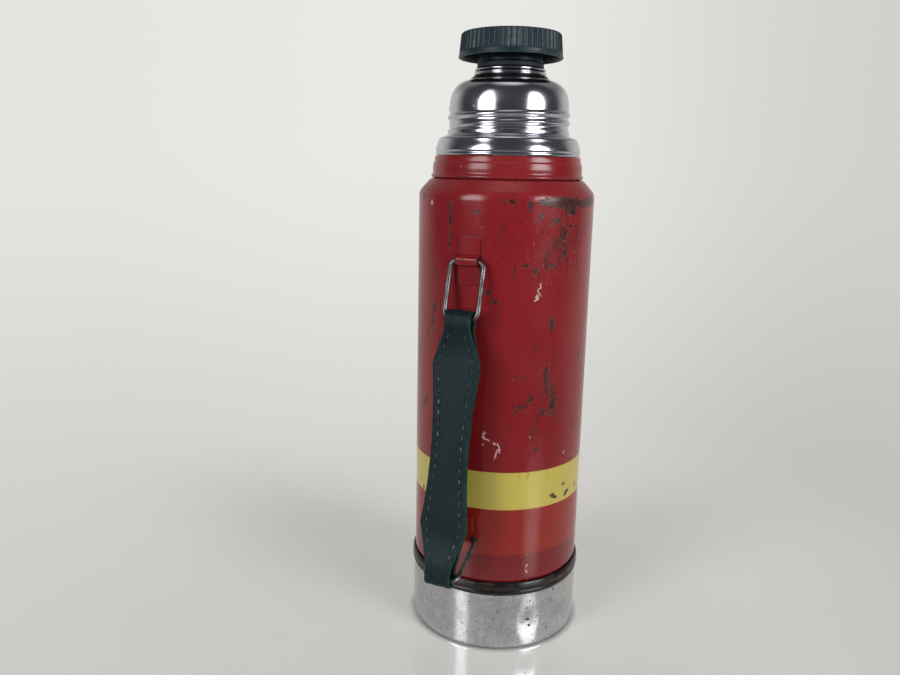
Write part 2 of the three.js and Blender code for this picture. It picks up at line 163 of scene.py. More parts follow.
class Finish(Graph):
    """A material built from the piece's own coordinates."""

    def __init__(self, name):
        self.material = bpy.data.materials.new(name)
        self.material.use_nodes = True
        super().__init__(self.material.node_tree)
        self.place = self.add("TexCoord").outputs["Object"]
        self.height = self.scaled(self.split(self.place)[2], 1 / MM, UNDERSIDE)

    def stretched(self, x, y, z):
        inputs = {0: self.place, 1: (x, y, z)}
        return self.add("VectorMath", inputs, operation="MULTIPLY").outputs[0]

    def noise(self, size, detail=2.0, stretch=None, roughness=0.55):
        """Noise with features of about that size in millimetres."""
        place = self.stretched(*stretch) if stretch else self.place
        inputs = {"Vector": place, "Scale": 0.5 / (size * MM), "Detail": detail, "Roughness": roughness}
        return self.add("TexNoise", inputs).outputs[0]

    def cells(self, size, feature="F1", output="Distance"):
        inputs = {"Vector": self.place, "Scale": 1 / (size * MM)}
        return self.add("TexVoronoi", inputs, feature=feature).outputs[output]

    def specks(self, size, spacing, share):
        """Round specks of that radius, on some of the cells of that spacing."""
        distance = self.cells(spacing)
        chosen = self.split(self.cells(spacing, output="Color"))[0]
        near = self.step(distance, 0.6 * size / spacing, size / spacing, 1.0, 0.0)
        return self.times(near, self.step(chosen, 1 - share, 1.001 - share))

    def attribute(self, name):
        return self.add("Attribute", attribute_name=name).outputs["Fac"]

    def bump(self, height, depth, normal=None):
        """A bump whose height of 1 is depth millimetres."""
        inputs = {"Height": height, "Distance": depth * MM, "Strength": 1.0}
        if normal is not None:
            inputs["Normal"] = normal
        return self.add("Bump", inputs).outputs[0]

    def finish(self, color, roughness, metallic=0.0, normal=None, **others):
        inputs = {"Base Color": color, "Roughness": roughness, "Metallic": metallic}
        if normal is not None:
            inputs["Normal"] = normal
        inputs.update({key.replace("_", " "): value for key, value in others.items()})
        shader = self.add("BsdfPrincipled", inputs).outputs[0]
        self.add("OutputMaterial", {"Surface": shader})
        return self.material


# ---- materials ----
RED, YELLOW = (0.250, 0.0108, 0.0146), (0.690, 0.605, 0.118)
ORANGE, CRIMSON = (0.300, 0.0130, 0.0030), (0.172, 0.0022, 0.0050)
YELLOW_TOP, YELLOW_FOOT, ORANGE_FOOT = 102.3, 81.2, 55.0


def enamel():
    """Glossy paint in bands, chipped to a near-black undercoat where the mesh says so."""
    g = Finish("body_enamel")
    drift = g.scaled(g.noise(14, 1), 0.5, -0.25)
    height = g.math("ADD", g.height, drift)
    paint = g.mix(g.step(height, ORANGE_FOOT - 0.3, ORANGE_FOOT + 0.3), CRIMSON, ORANGE)
    paint = g.mix(g.step(height, YELLOW_FOOT - 0.15, YELLOW_FOOT + 0.15), paint, YELLOW)
    paint = g.mix(g.step(height, YELLOW_TOP - 0.15, YELLOW_TOP + 0.15), paint, RED)
    # The red is darker towards the bottom of the jacket.
    paint = g.mix(g.step(g.height, 105, 240, 0.28, 0.0), paint, (0.08, 0.002, 0.004))
    fading = g.step(g.noise(38, 3), 0.3, 0.7)
    paint = g.mix(g.times(fading, 0.10), paint, (0.42, 0.10, 0.09))
    settled = g.step(g.noise(5, 4), 0.25, 0.75, 0.35, 1)
    dust = g.times(g.step(g.height, SHOULDER, SHOULDER + 4), settled)
    dust = g.times(dust, g.step(g.height, SHOULDER + 9.6, SHOULDER + 10.4, 0.005, 0.004))
    paint = g.mix(dust, paint, (0.80, 0.55, 0.55))

    ragged = g.scaled(g.noise(1.7, 8, roughness=0.80), 4.2, -2.1)
    chip = g.step(g.math("ADD", g.attribute("chip"), ragged), 0.40, 0.62)
    chip = g.times(chip, g.step(g.attribute("chip"), 0.05, 0.20))
    streaks = g.noise(1.2, 5, (1, 1, 0.20), 0.65)
    # Dark rubbed smears on the jacket; on the loop strips the same mark is painted shade along the plate edges.
    rubbed = g.scaled(streaks, 4.0, g.times(g.attribute("rub_and_edge_shade"), 1.3))
    rubbed = g.times(g.step(rubbed, 2.75, 3.25), g.step(g.attribute("rub_and_edge_shade"), 0.05, 0.40))
    curl = g.math("ABSOLUTE", g.scaled(g.noise(3.2, 2), 2.0, -1.0))
    curl = g.times(curl, -1)
    scuff = g.step(g.scaled(g.attribute("scuff"), 0.14, curl), 0.01, 0.05)
    zone = g.attribute("zone")
    flecks = g.scaled(zone, 0.085, g.noise(0.9, 4, (1, 1, 0.7), 0.65))
    nicks = g.larger(g.step(g.noise(22, 3), 0.48, 0.62), zone)
    nicks = g.times(nicks, g.step(flecks, 0.665, 0.735))
    faint = g.larger(g.step(g.noise(26, 3), 0.43, 0.60), zone)
    faint = g.times(faint, g.step(g.scaled(zone, 0.07, streaks), 0.55, 0.70))
    grain = g.step(g.noise(0.8, 2), 0.3, 0.7)
    undercoat = g.mix(grain, (0.008, 0.011, 0.010), (0.030, 0.026, 0.021))
    in_band = g.step(height, YELLOW_TOP, YELLOW_TOP + 1, 0.9, 0.0)
    undercoat = g.mix(in_band, undercoat, (0.016, 0.011, 0.008))
    steel = g.step(g.math("ADD", g.attribute("chip"), ragged), 1.45, 1.90)
    undercoat = g.mix(g.times(steel, 0.6), undercoat, (0.085, 0.105, 0.105))
    bare = g.larger(chip, g.times(nicks, 0.75))
    # Real dark smears, plus the painted edge shade of the loop strips.
    smudge_and_edge_shade = g.larger(g.times(rubbed, 0.60), g.times(faint, 0.55))
    color = g.mix(smudge_and_edge_shade, paint, (0.050, 0.022, 0.018))
    color = g.mix(g.times(bare, g.scaled(in_band, 0.16, 0.80)), color, undercoat)
    white = g.specks(0.42, 9.0, 0.10)
    white = g.times(white, g.step(g.height, 200, SHOULDER))
    color = g.mix(g.larger(g.times(scuff, 0.8), white), color, (0.62, 0.50, 0.46))

    hairs = g.step(g.noise(0.5, 1, (1, 1, 0.02)), 0.66, 0.74)
    hairs = g.times(hairs, g.step(g.noise(18, 1), 0.45, 0.6))
    gloss = g.step(g.noise(9, 4), 0.3, 0.7, 0.12, 0.20)
    gloss = g.scaled(hairs, 0.12, gloss)
    dulled = g.step(g.height, SHOULDER, SHOULDER + 4, 0.0, 0.12)
    dulled = g.times(dulled, g.step(g.height, SHOULDER + 9.6, SHOULDER + 10.4, 1.0, 0.2))
    gloss = g.math("ADD", gloss, dulled)
    gloss = g.scaled(g.larger(bare, scuff), 0.10, gloss)
    peel = g.bump(g.noise(1.6, 2), 0.006)
    normal = g.bump(g.times(g.larger(chip, nicks), -1), 0.07, peel)
    return g.finish(color, gloss, 0.0, normal, Specular_IOR_Level=0.42)


def mirror_steel():
    """Bright spun steel: fine turning lines, smears, a few dark pits, and painted shade below the lip."""
    g = Finish("polished_steel")
    lines = g.noise(0.35, 3, (0.06, 0.06, 1))
    smear = g.step(g.noise(6, 4), 0.35, 0.7)
    pits = g.specks(0.34, 4.6, 0.13)
    stain = g.step(g.noise(2.2, 4), 0.60, 0.74)
    stain = g.times(stain, g.step(g.noise(16, 1), 0.48, 0.60))
    color = g.mix(smear, (0.66, 0.66, 0.69), (0.58, 0.58, 0.61))
    color = g.mix(g.times(stain, 0.55), color, (0.22, 0.21, 0.20))
    color = g.mix(g.times(pits, 0.8), color, (0.05, 0.045, 0.04))
    # Painted shade: the steel just below the lip is darkened as if shaded by the stopper and reflecting its dark
    # underside.
    painted_lip_shade = g.times(g.step(g.height, 303.6, 304.5), g.step(g.height, 306.4, 307.0, 0.9, 0.0))
    color = g.mix(painted_lip_shade, color, (0.045, 0.043, 0.048))
    rough = g.scaled(smear, 0.07, 0.135)
    rough = g.scaled(painted_lip_shade, 0.20, rough)
    rough = g.scaled(g.larger(stain, pits), 0.22, rough)
    normal = g.bump(lines, 0.0022, g.bump(g.noise(7, 1), 0.02))
    return g.finish(color, rough, 1.0, normal)


def dull_steel():
    """The base cup: bare steel, clouded, scratched and pitted, darker where it was hit."""
    g = Finish("base_steel")
    cloud = g.step(g.noise(7, 5, roughness=0.65), 0.34, 0.68)
    mottle = g.noise(1.6, 5, roughness=0.7)
    brushed = g.noise(0.6, 3, (0.08, 0.08, 1))
    upright = g.noise(1.1, 3, (1, 1, 0.07))
    region = g.step(g.noise(13, 3), 0.42, 0.58, 0.25, 1.0)
    pits = g.step(g.noise(0.75, 2), 0.640, 0.70)
    pits = g.times(g.larger(pits, g.specks(0.5, 5.2, 0.25)), region)
    ragged = g.scaled(g.noise(0.9, 4), 1.4, -0.7)
    mark = g.step(g.math("ADD", g.attribute("chip"), ragged), 0.46, 0.62)
    bloom = g.times(g.step(mottle, 0.55, 0.70), region)
    color = g.mix(cloud, (0.49, 0.49, 0.502), (0.66, 0.66, 0.672))
    grain = g.step(g.noise(0.5, 4, roughness=0.7), 0.40, 0.62)
    color = g.mix(g.times(grain, 0.40), color, (0.30, 0.30, 0.305))
    color = g.mix(g.times(bloom, 0.60), color, (0.15, 0.145, 0.14))
    color = g.mix(g.larger(g.times(pits, 0.8), mark), color, (0.045, 0.042, 0.040))
    # The steel is darker along its bottom edge.
    height = g.scaled(g.noise(3, 3), 2.0, g.height)
    darker_foot = g.step(height, UNDERSIDE + 1.2, UNDERSIDE + 2.4, 0.5, 0.0)
    color = g.mix(darker_foot, color, (0.20, 0.19, 0.18))
    rough = g.scaled(cloud, -0.04, 0.155)
    rough = g.scaled(g.larger(pits, bloom), 0.2, rough)
    normal = g.bump(brushed, 0.003, g.bump(upright, 0.0045))
    normal = g.bump(g.times(g.larger(pits, mark), -1), 0.08, normal)
    normal = g.bump(g.noise(7, 3), 0.075, normal)
    return g.finish(color, rough, 1.0, normal)


def black_seam():
    """Black enamel over the lower seam, worn to rust in thin lines."""
    g = Finish("seam_enamel")
    lines = g.noise(0.55, 4, (0.05, 0.05, 1))
    patches = g.noise(6, 3)
    rust = g.step(g.scaled(patches, 0.8, lines), 0.99, 1.10)
    color = g.mix(g.step(g.noise(1.2, 3), 0.3, 0.7), (0.006, 0.005, 0.005), (0.014, 0.010, 0.009))
    color = g.mix(g.times(rust, 0.75), color, (0.085, 0.026, 0.015))
    rough = g.scaled(rust, 0.35, g.step(g.noise(2, 3), 0.3, 0.7, 0.20, 0.36))
    return g.finish(color, rough, 0.0, g.bump(g.math("ADD", lines, rust), 0.03), Specular_IOR_Level=0.3)


def grey_wire():
    """Plated wire, greyed and rubbed."""
    g = Finish("ring_wire")
    worn = g.step(g.noise(3, 4), 0.42, 0.62)
    color = g.mix(worn, (0.10, 0.096, 0.095), (0.205, 0.197, 0.197))
    color = g.mix(g.specks(0.35, 2.4, 0.25), color, (0.05, 0.04, 0.035))
    rough = g.step(g.noise(1.4, 3), 0.3, 0.7, 0.34, 0.55)
    return g.finish(color, rough, 1.0, g.bump(g.noise(0.5, 3), 0.01))


def leather():
    """Dark green hide: fine pebble grain, cross creases and lighter rubbed edges."""
    g = Finish("strap_leather")
    pebble = g.cells(0.75, "SMOOTH_F1")
    fine = g.noise(0.35, 3)
    folds = g.step(g.noise(2.6, 4), 0.36, 0.60)
    cloud = g.step(g.noise(9, 4), 0.3, 0.7)
    color = g.mix(cloud, (0.0040, 0.0135, 0.0155), (0.0065, 0.0185, 0.0215))
    color = g.mix(g.times(g.step(fine, 0.50, 0.72), 0.36), color, (0.018, 0.046, 0.049))
    edge = g.times(g.attribute("edge"), g.step(g.noise(2.2, 3), 0.30, 0.62))
    color = g.mix(g.times(edge, 0.65), color, (0.010, 0.058, 0.034))
    scrape = g.step(g.noise(0.7, 2, (1, 1, 0.12)), 0.69, 0.76)
    scrape = g.times(scrape, g.step(g.noise(10, 1), 0.48, 0.6))
    color = g.mix(g.times(scrape, 0.5), color, (0.10, 0.13, 0.125))
    rough = g.scaled(g.step(fine, 0.3, 0.7), 0.14, 0.40)
    normal = g.bump(pebble, 0.10, g.bump(folds, 0.04))
    normal = g.bump(fine, 0.03, normal)
    return g.finish(color, rough, 0.0, normal, Specular_IOR_Level=0.14)


def thread():
    """Waxed thread, dark with leather dye, with pale spots that are partly rubbed thread and partly painted
    highlights.
    """
    g = Finish("strap_thread")
    # Pale spots, partly wear and partly painted highlights, fewer higher up the strap.
    pale = g.times(g.step(g.noise(5.0, 4), 0.44, 0.64), g.step(g.height, 146, 166, 1.0, 0.15))
    color = g.mix(pale, (0.026, 0.046, 0.043), (0.155, 0.190, 0.178))
    twist = g.noise(0.22, 2, (1, 1, 0.6))
    return g.finish(color, 0.62, 0.0, g.bump(twist, 0.05), Sheen_Weight=0.2)


def cap_plastic():
    """Moulded green plastic, paler along the ribs' crests, the rim and the top edge, where highlights are painted.
    """
    g = Finish("cap_plastic")
    # Painted highlights: pale colour along the rib crests, the rim and the top edge.
    crest_highlight = g.times(g.attribute("crest_highlight"), g.step(g.noise(2.4, 4), 0.25, 0.70))
    color = g.mix(g.step(g.noise(6, 3), 0.3, 0.7), (0.0090, 0.0245, 0.0310), (0.0130, 0.0325, 0.0410))
    color = g.mix(g.times(crest_highlight, 0.45), color, (0.065, 0.112, 0.125))
    scratch = g.step(g.noise(0.5, 2, (0.12, 1, 1)), 0.70, 0.76)
    color = g.mix(g.times(scratch, 0.35), color, (0.10, 0.15, 0.15))
    rough = g.step(g.noise(1.2, 3), 0.3, 0.7, 0.34, 0.50)
    return g.finish(color, rough, 0.0, g.bump(g.noise(0.45, 3), 0.02), Specular_IOR_Level=0.3)


def stem_plastic():
    g = Finish("stem_plastic")
    color = g.mix(g.step(g.noise(4, 3), 0.3, 0.7), (0.006, 0.012, 0.013), (0.013, 0.022, 0.023))
    rough = g.step(g.noise(1.5, 3), 0.3, 0.7, 0.34, 0.52)
    return g.finish(color, rough, 0.0, g.bump(g.noise(0.4, 2), 0.015))


def rubber():
    g = Finish("rubber_seal")
    color = g.mix(g.step(g.noise(2, 3), 0.35, 0.7), (0.020, 0.023, 0.031), (0.030, 0.034, 0.043))
    return g.finish(color, 0.60, 0.0, g.bump(g.noise(0.3, 3), 0.03), Specular_IOR_Level=0.3)


def vessel_steel():
    """Drawn steel that is not polished: soft turning lines and drink stains."""
    g = Finish("vessel_steel")
    stain = g.step(g.noise(12, 4), 0.5, 0.75)
    color = g.mix(g.times(stain, 0.5), (0.50, 0.50, 0.51), (0.30, 0.25, 0.19))
    rough = g.step(g.noise(5, 3), 0.3, 0.7, 0.24, 0.38)
    return g.finish(color, rough, 1.0, g.bump(g.noise(0.5, 3, (0.05, 0.05, 1)), 0.006))


def foam():
    g = Finish("foam")
    open_cell = g.cells(1.1)
    color = g.mix(g.step(open_cell, 0.1, 0.6), (0.50, 0.42, 0.27), (0.76, 0.69, 0.52))
    return g.finish(color, 0.95, 0.0, g.bump(open_cell, 0.3))


def copper():
    g = Finish("copper")
    dark = g.step(g.noise(2.5, 4), 0.4, 0.7)
    color = g.mix(dark, (0.62, 0.28, 0.14), (0.16, 0.08, 0.05))
    return g.finish(color, g.scaled(dark, 0.25, 0.28), 1.0, g.bump(g.noise(0.6, 3), 0.02))


def felt():
    g = Finish("felt")
    hairs = g.noise(0.5, 4, (0.3, 1, 1))
    color = g.mix(g.step(hairs, 0.3, 0.7), (0.10, 0.095, 0.085), (0.24, 0.225, 0.20))
    return g.finish(color, 1.0, 0.0, g.bump(hairs, 0.3), Sheen_Weight=0.4)


MATERIALS = {
    "body_enamel": enamel(),
    "polished_steel": mirror_steel(),
    "base_steel": dull_steel(),
    "seam_enamel": black_seam(),
    "ring_wire": grey_wire(),
    "strap_leather": leather(),
    "strap_thread": thread(),
    "cap_plastic": cap_plastic(),
    "stem_plastic": stem_plastic(),
    "rubber_seal": rubber(),
    "vessel_steel": vessel_steel(),
    "foam": foam(),
    "copper": copper(),
    "felt": felt(),
}
MATERIALS["band_enamel"] = MATERIALS["body_enamel"]


# ---- mesh making ----
def divided(points, step, closed=True):
    """The line through the points, with more of them so that no run is longer than step."""
    ends = np.roll(points, -1, axis=0) if closed else points[1:]
    line = []
    for a, b in zip(points, ends):
        count = max(1, math.ceil(np.linalg.norm(b - a) / step))
        line.extend(a + (b - a) * k / count for k in range(count))
    if not closed:
        line.append(points[-1])
    return np.array(line)


def directions(line):
    """The unit direction of a line at each of its points."""
    ahead = np.gradient(line, axis=0)
    return ahead / np.linalg.norm(ahead, axis=1)[:, None]


def rounded(corners, step=1.0, closed=True):
    """Points through [radius, height, cut] corners. cut is how far a corner is rounded back along its
    two sides, and no straight run between points is longer than step."""
    t = np.linspace(0, 1, 6)[:, None]
    plain = [np.array(c[:2], float) for c in corners]
    points = []
    for i, corner in enumerate(corners):
        here, before, after = plain[i], plain[i - 1], plain[(i + 1) % len(corners)]
        inside = closed or 0 < i < len(corners) - 1
        if len(corner) < 3 or not inside:
            points.append(here)
            continue
        back, onward = np.linalg.norm(before - here), np.linalg.norm(after - here)
        cut = min(corner[2], 0.48 * back, 0.48 * onward)
        start = here + (before - here) * cut / back
        end = here + (after - here) * cut / onward
        points.extend((1 - t) ** 2 * start + 2 * t * (1 - t) * here + t**2 * end)
    return divided(np.array(points), step, closed)


def sheet_outline(outer, thickness, inner_step):
    """The closed outline of a sheet from the points of its outer side."""
    ahead = directions(outer)
    inner = outer + thickness * np.stack([-ahead[:, 1], ahead[:, 0]], 1)
    return np.concatenate([outer, inner[::-1][::inner_step]])


def bezier(a, b, c, d, count):
    t = np.linspace(0, 1, count)[:, None]
    a, b, c, d = (np.array(p, float) for p in (a, b, c, d))
    return (1 - t) ** 3 * a + 3 * t * (1 - t) ** 2 * b + 3 * t * t * (1 - t) * c + t**3 * d


def grid_faces(index, wrap_rows):
    """Faces of a grid of vertex numbers that closes across its columns. Numbers that repeat shrink a
    face to a triangle."""
    across = np.roll(index, -1, axis=1)
    if wrap_rows:
        up, up_across = np.roll(index, -1, axis=0), np.roll(across, -1, axis=0)
    else:
        up, up_across, index, across = index[1:], across[1:], index[:-1], across[:-1]
    quads = np.stack([index, across, up_across, up], -1).reshape(-1, 4)
    return [tuple(dict.fromkeys(q)) for q in quads.tolist()]


def turned(line, sides, shape=None):
    """Points, faces and angles of a line of [radius, height] points turned about Z. shape changes the
    radii and heights: it is given arrays of angles, radii and heights."""
    closed = line[0][0] > 1e-6 or line[-1][0] > 1e-6
    angle, r = np.meshgrid(np.arange(sides) * 2 * math.pi / sides, line[:, 0])
    z = np.broadcast_to(line[:, 1:2], r.shape).copy()
    if shape:
        r, z = shape(angle, r, z)
    grid = np.stack([r * np.sin(angle), -r * np.cos(angle), z], -1)
    index = np.arange(grid.shape[0] * sides).reshape(grid.shape[:2])
    axis = line[:, 0] < 1e-6
    index[axis] = index[axis, :1]
    used, index = np.unique(index, return_inverse=True)
    index = index.reshape(grid.shape[:2])
    return grid.reshape(-1, 3)[used], grid_faces(index, closed), angle.reshape(-1)[used]


def add_piece(name, points, faces, body, slot, nodes=(), sharp=38, attributes=None):
    """A piece of the object from points in millimetres, which stands for CAD nodes. Its faces are turned
    outwards."""
    mesh = bpy.data.meshes.new(name)
    points = (np.asarray(points) - [0, 0, UNDERSIDE]) * MM
    mesh.from_pydata(points.tolist(), [], faces)
    shell = bmesh.new()
    shell.from_mesh(mesh)
    bmesh.ops.recalc_face_normals(shell, faces=shell.faces[:])
    shell.to_mesh(mesh)
    shell.free()
    mesh.polygons.foreach_set("use_smooth", [True] * len(mesh.polygons))
    mesh.set_sharp_from_angle(angle=math.radians(sharp))
    for key, values in (attributes or {}).items():
        stored = mesh.attributes.new(key, "FLOAT", "POINT")
        stored.data.foreach_set("value", np.asarray(values, np.float32))
    piece = bpy.data.objects.new(name, mesh)
    bpy.context.scene.collection.objects.link(piece)
    mesh.materials.append(MATERIALS[slot])
    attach(piece, body)
    if nodes:
        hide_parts(*nodes)


def covered(angles, heights, marks, around, grow=1.0):
    """How strongly marks cover each point of a round wall, from 0 to 1, with 0.5 at a mark's edge. A
    mark is [degrees, height, half width, half height, lean], and lean is its slant sideways."""
    cover = np.zeros(len(angles))
    for degrees, height, half_width, half_height, lean in marks:
        turn = (angles - math.radians(degrees) + math.pi) % (2 * math.pi) - math.pi
        up = heights - height
        reach = ((turn * around - lean * up) / (grow * half_width)) ** 2 + (up / (grow * half_height)) ** 2
        cover = np.maximum(cover, 1 - 0.5 * reach)
    return np.clip(cover, 0, 1)


def waves(angle, z, amount):
    """Slow unevenness of a sheet that has been handled."""
    ripple = np.sin(3 * angle + z / 31) + 0.7 * np.sin(5 * angle - z / 17 + 1.3)
    return amount * (ripple + 0.5 * np.sin(11 * angle + z / 9 + 0.4)) / 2.2


# ---- jacket ----
# The places of most marks on the front were picked by eye in the photograph, and a scratch script with
# the fitted camera turned them into degrees and heights. The back's were made up.
# Chips to the undercoat: degrees from the strap, height, half width, half height, lean.
CHIPS = [
    (46, 243.2, 3.2, 1.3, 0), (51, 243.4, 5.5, 1.7, 0), (58, 242.8, 6.0, 2.3, 0), (66, 243.0, 6.0, 2.2, 0),
    (74, 242.6, 7.0, 2.0, 0), (82, 243.0, 6.0, 2.4, 0), (90, 243.3, 4.5, 1.6, 0),
    (67, 238.4, 3.0, 1.3, 0.3), (36.6, 242.3, 1.3, 2.2, 0), (36.8, 239.0, 1.1, 0.9, 0),
    (24.4, 243.3, 3.0, 0.9, 0),
    (43.8, 236.0, 1.1, 1.5, 0.2), (53.3, 234.3, 2.0, 1.6, 0.4), (66, 231.5, 1.0, 1.5, 0),
    (61, 227.0, 1.6, 2.6, 0.2), (61.4, 221.5, 1.1, 2.6, 0), (61.6, 217.5, 1.2, 1.8, 0),
    (34.8, 212.0, 1.3, 0.9, 0.3), (52.3, 211.2, 1.5, 1.3, 0.4), (41.0, 209.3, 1.3, 1.6, 0.3),
    (12.2, 197.6, 1.3, 1.4, 0), (16.6, 193.8, 1.1, 1.5, -0.4), (-14.0, 234.5, 0.65, 7.5, 0.0),
    (-14.2, 222.5, 0.6, 3.4, 0), (3.3, 237.9, 1.3, 1.0, 0), (6.5, 219.5, 0.55, 5.0, 0),
    (53.8, 182.0, 1.1, 3.2, 0), (-27.8, 185.5, 0.7, 3.6, 0.3), (-28.8, 178.6, 0.8, 2.6, 0.3),
    (-34.6, 172.0, 0.6, 3.4, 0.4), (-36.6, 133.5, 0.9, 3.2, 0.5), (-49.0, 160.0, 0.7, 4.5, 0.2),
    (51.3, 153.5, 1.0, 3.4, 0), (51.4, 157.6, 0.7, 1.6, 0), (55.8, 146.0, 0.7, 3.8, 0.1),
    (41.4, 142.4, 1.0, 1.9, 0.2), (36.6, 138.4, 4.4, 0.55, 1.3), (31.5, 135.6, 1.4, 0.8, 1.0),
    (50.3, 134.8, 1.1, 1.5, 0), (56.3, 134.2, 1.6, 1.7, 0), (57.6, 138.8, 0.8, 3.4, 0.2),
    (60.8, 139.4, 0.7, 3.2, 0), (44.8, 126.0, 1.1, 1.3, 0), (45.0, 114.5, 1.3, 1.1, 0),
    (30.4, 154.2, 0.9, 0.7, 0), (36.5, 154.2, 1.1, 0.8, 0), (79.5, 143.5, 0.9, 1.4, 0),
    (82.0, 161.8, 0.9, 1.7, 0), (77.2, 123.8, 0.8, 1.3, 0), (-42.0, 244.4, 2.6, 1.2, 0),
    (62.0, 85.4, 2.0, 1.2, -0.9), (61.2, 86.6, 1.2, 1.0, 0), (71.4, 90.6, 1.2, 0.9, 0),
    (74.6, 84.4, 1.3, 1.1, 0.5), (76.4, 85.4, 1.3, 1.1, 0.5), (89.0, 86.2, 0.8, 1.6, 0),
    (56.9, 74.4, 0.8, 0.6, 0), (39.1, 71.4, 0.5, 0.45, 0), (63.0, 74.9, 0.5, 0.5, 0),
    (87.0, 60.0, 0.6, 1.9, 0), (-37.2, 82.6, 0.8, 1.0, 0), (-42.7, 77.2, 0.7, 0.7, 0),
    (9.0, 62.3, 1.6, 1.2, 0), (120, 238, 4.0, 1.6, 0.2), (133, 226, 1.0, 4.4, 0.2),
    (148, 196, 1.6, 1.4, 0.3), (168, 243.4, 7.0, 1.6, 0), (176, 176, 0.8, 5.6, 0.3),
    (190, 150, 1.6, 1.1, 0.6), (204, 128, 0.9, 3.8, 0), (215, 214, 1.8, 1.4, 0.3),
    (228, 243.2, 5.0, 1.4, 0), (239, 188, 0.8, 4.2, -0.3), (251, 146, 1.4, 1.4, 0),
    (262, 110, 1.2, 1.0, 0.4), (157, 91, 1.4, 0.9, 0.5), (183, 87.5, 0.9, 0.8, 0),
    (222, 94, 1.2, 0.8, 0.3), (276, 222, 0.9, 2.6, 0.2), (100, 207, 1.0, 2.4, 0.1),
    (108, 171, 1.4, 1.2, 0.4), (112, 133, 0.9, 3.2, 0), (143, 70, 1.0, 0.8, 0.3),
]
# Paint rubbed thin and dark, in loose upright smears.
RUBS = [
    (56, 225, 6.0, 9.0, 0.15), (49, 213, 4.0, 7.0, 0), (44, 206, 1.4, 3.6, 0), (28, 210, 0.9, 4.6, 0),
    (19.5, 231, 1.4, 2.0, 0), (71, 226, 2.6, 9.0, 0.1), (51, 148, 2.4, 10.0, 0), (57, 141, 3.6, 8.0, 0.1),
    (36, 139, 2.6, 3.0, 1.0), (54, 181, 2.0, 6.0, 0), (15, 224, 1.0, 1.6, 0), (82, 228, 1.6, 10.0, 0),
    (44, 122, 1.6, 4.6, 0), (-14, 232, 1.4, 10.0, 0), (131, 226, 4.0, 9.0, 0.2), (176, 176, 2.4, 9.0, 0.3),
    (205, 130, 2.6, 8.0, 0), (240, 188, 2.2, 8.0, -0.3), (160, 238, 7.0, 3.0, 0), (66, 239, 9.0, 2.6, 0),
]
# Where small nicks and dark smudges lie thickest.
ZONES = [
    (62, 220, 22, 23, 0), (52, 146, 11, 24, 0), (16, 226, 9, 12, 0), (-22, 180, 7, 30, 0),
    (140, 215, 14, 24, 0), (225, 160, 16, 34, 0),
]
# White scuffs, from rubbing against something pale.
SCUFFS = [
    (44.4, 200.0, 0.7, 2.6, 0), (43.4, 196.6, 0.6, 2.0, 0.3), (41.6, 193.8, 0.8, 0.5, 0.5),
    (47.4, 193.8, 0.7, 0.4, 0), (13.3, 122.8, 1.3, 1.5, 0), (15.0, 119.6, 1.0, 1.2, -0.4),
    (9.0, 115.4, 1.1, 0.8, 0.8), (11.4, 117.2, 1.4, 0.35, 1.4), (19.6, 118.0, 2.0, 0.4, -1.4),
    (22.0, 114.4, 0.5, 2.2, 0), (20.2, 111.6, 0.7, 1.5, 0), (70.4, 109.2, 0.35, 2.6, 0.2),
    (42.4, 123.4, 0.5, 1.2, 0), (43.6, 48.0, 0.35, 4.2, 0), (44.3, 40.6, 0.8, 0.9, 0),
    (-31.3, 241.4, 0.9, 0.7, 0), (198, 201, 0.7, 2.4, 0.2), (233, 119, 1.1, 1.2, 0.4),
    (118, 104, 0.4, 2.6, 0),
]


def make_outer_shell():
    foot = low("outer_shell")
    outer = rounded(
        [
            (46.5, foot), (46.5, 38.2, 0.8), (BODY_R, 39.9, 1.2), (BODY_R, SHOULDER + 2.9, 2.4),
            (41.8, SHOULDER + 9.2, 0.9), (40.9, SHOULDER + 9.8, 0.6), (39.5, SHOULDER + 9.85, 0.7),
            (38.7, SHOULDER + 10.9, 0.9),
            (38.7, top("outer_shell")),
        ],
        1.0,
        closed=False,
    )

    def handled(angle, r, z):
        return r + waves(angle, z, 0.06) * (z > 42) * (z < SHOULDER + 6), z

    points, faces, angles = turned(sheet_outline(outer, SHEET, 4), 272, handled)
    heights = points[:, 2]
    outside = np.hypot(points[:, 0], points[:, 1]) > BODY_R - 7
    marks = {
        name: covered(angles, heights, spots, BODY_R, grow) * outside
        for name, spots, grow in (
            ("chip", CHIPS, 1.2), ("rub_and_edge_shade", RUBS, 1.0), ("scuff", SCUFFS, 1.5), ("zone", ZONES, 1.0),
        )
    }
    add_piece("bottle_jacket", points, faces, "bottle", "body_enamel", ["outer_shell"], attributes=marks)


def make_shoulder_collar():
    foot, rim = low("shoulder_collar"), top("shoulder_collar")
    line = rounded(
        [
            (39.6, foot), (40.35, foot, 0.25), (40.95, foot + 0.6, 0.4), (40.95, foot + 1.5, 0.6),
            (40.2, foot + 2.5, 0.6), (40.3, foot + 5.4, 1.0), (39.95, foot + 8.0, 0.5),
            (39.4, foot + 8.5, 0.4), (39.35, foot + 10.2, 0.6), (38.95, rim, 0.3), (38.1, rim, 0.2),
            (38.4, 262.4), (39.1, 261.3), (39.1, foot + 1.1),
        ],
        0.5,
    )
    points, faces, angles = turned(line, 256)
    worn = 0.34 * np.exp(-(((points[:, 2] - foot - 1.0) / 0.5) ** 2))
    dots = covered(angles, points[:, 2], [(28, 261.6, 0.5, 0.4, 0), (-12, 261.8, 0.6, 0.4, 0)], 40)
    none = np.zeros(len(points))
    marks = {"chip": worn, "rub_and_edge_shade": none, "scuff": dots, "zone": none}
    nodes = ["shoulder_collar"]
    add_piece("shoulder_band", points, faces, "bottle", "body_enamel", nodes, attributes=marks)


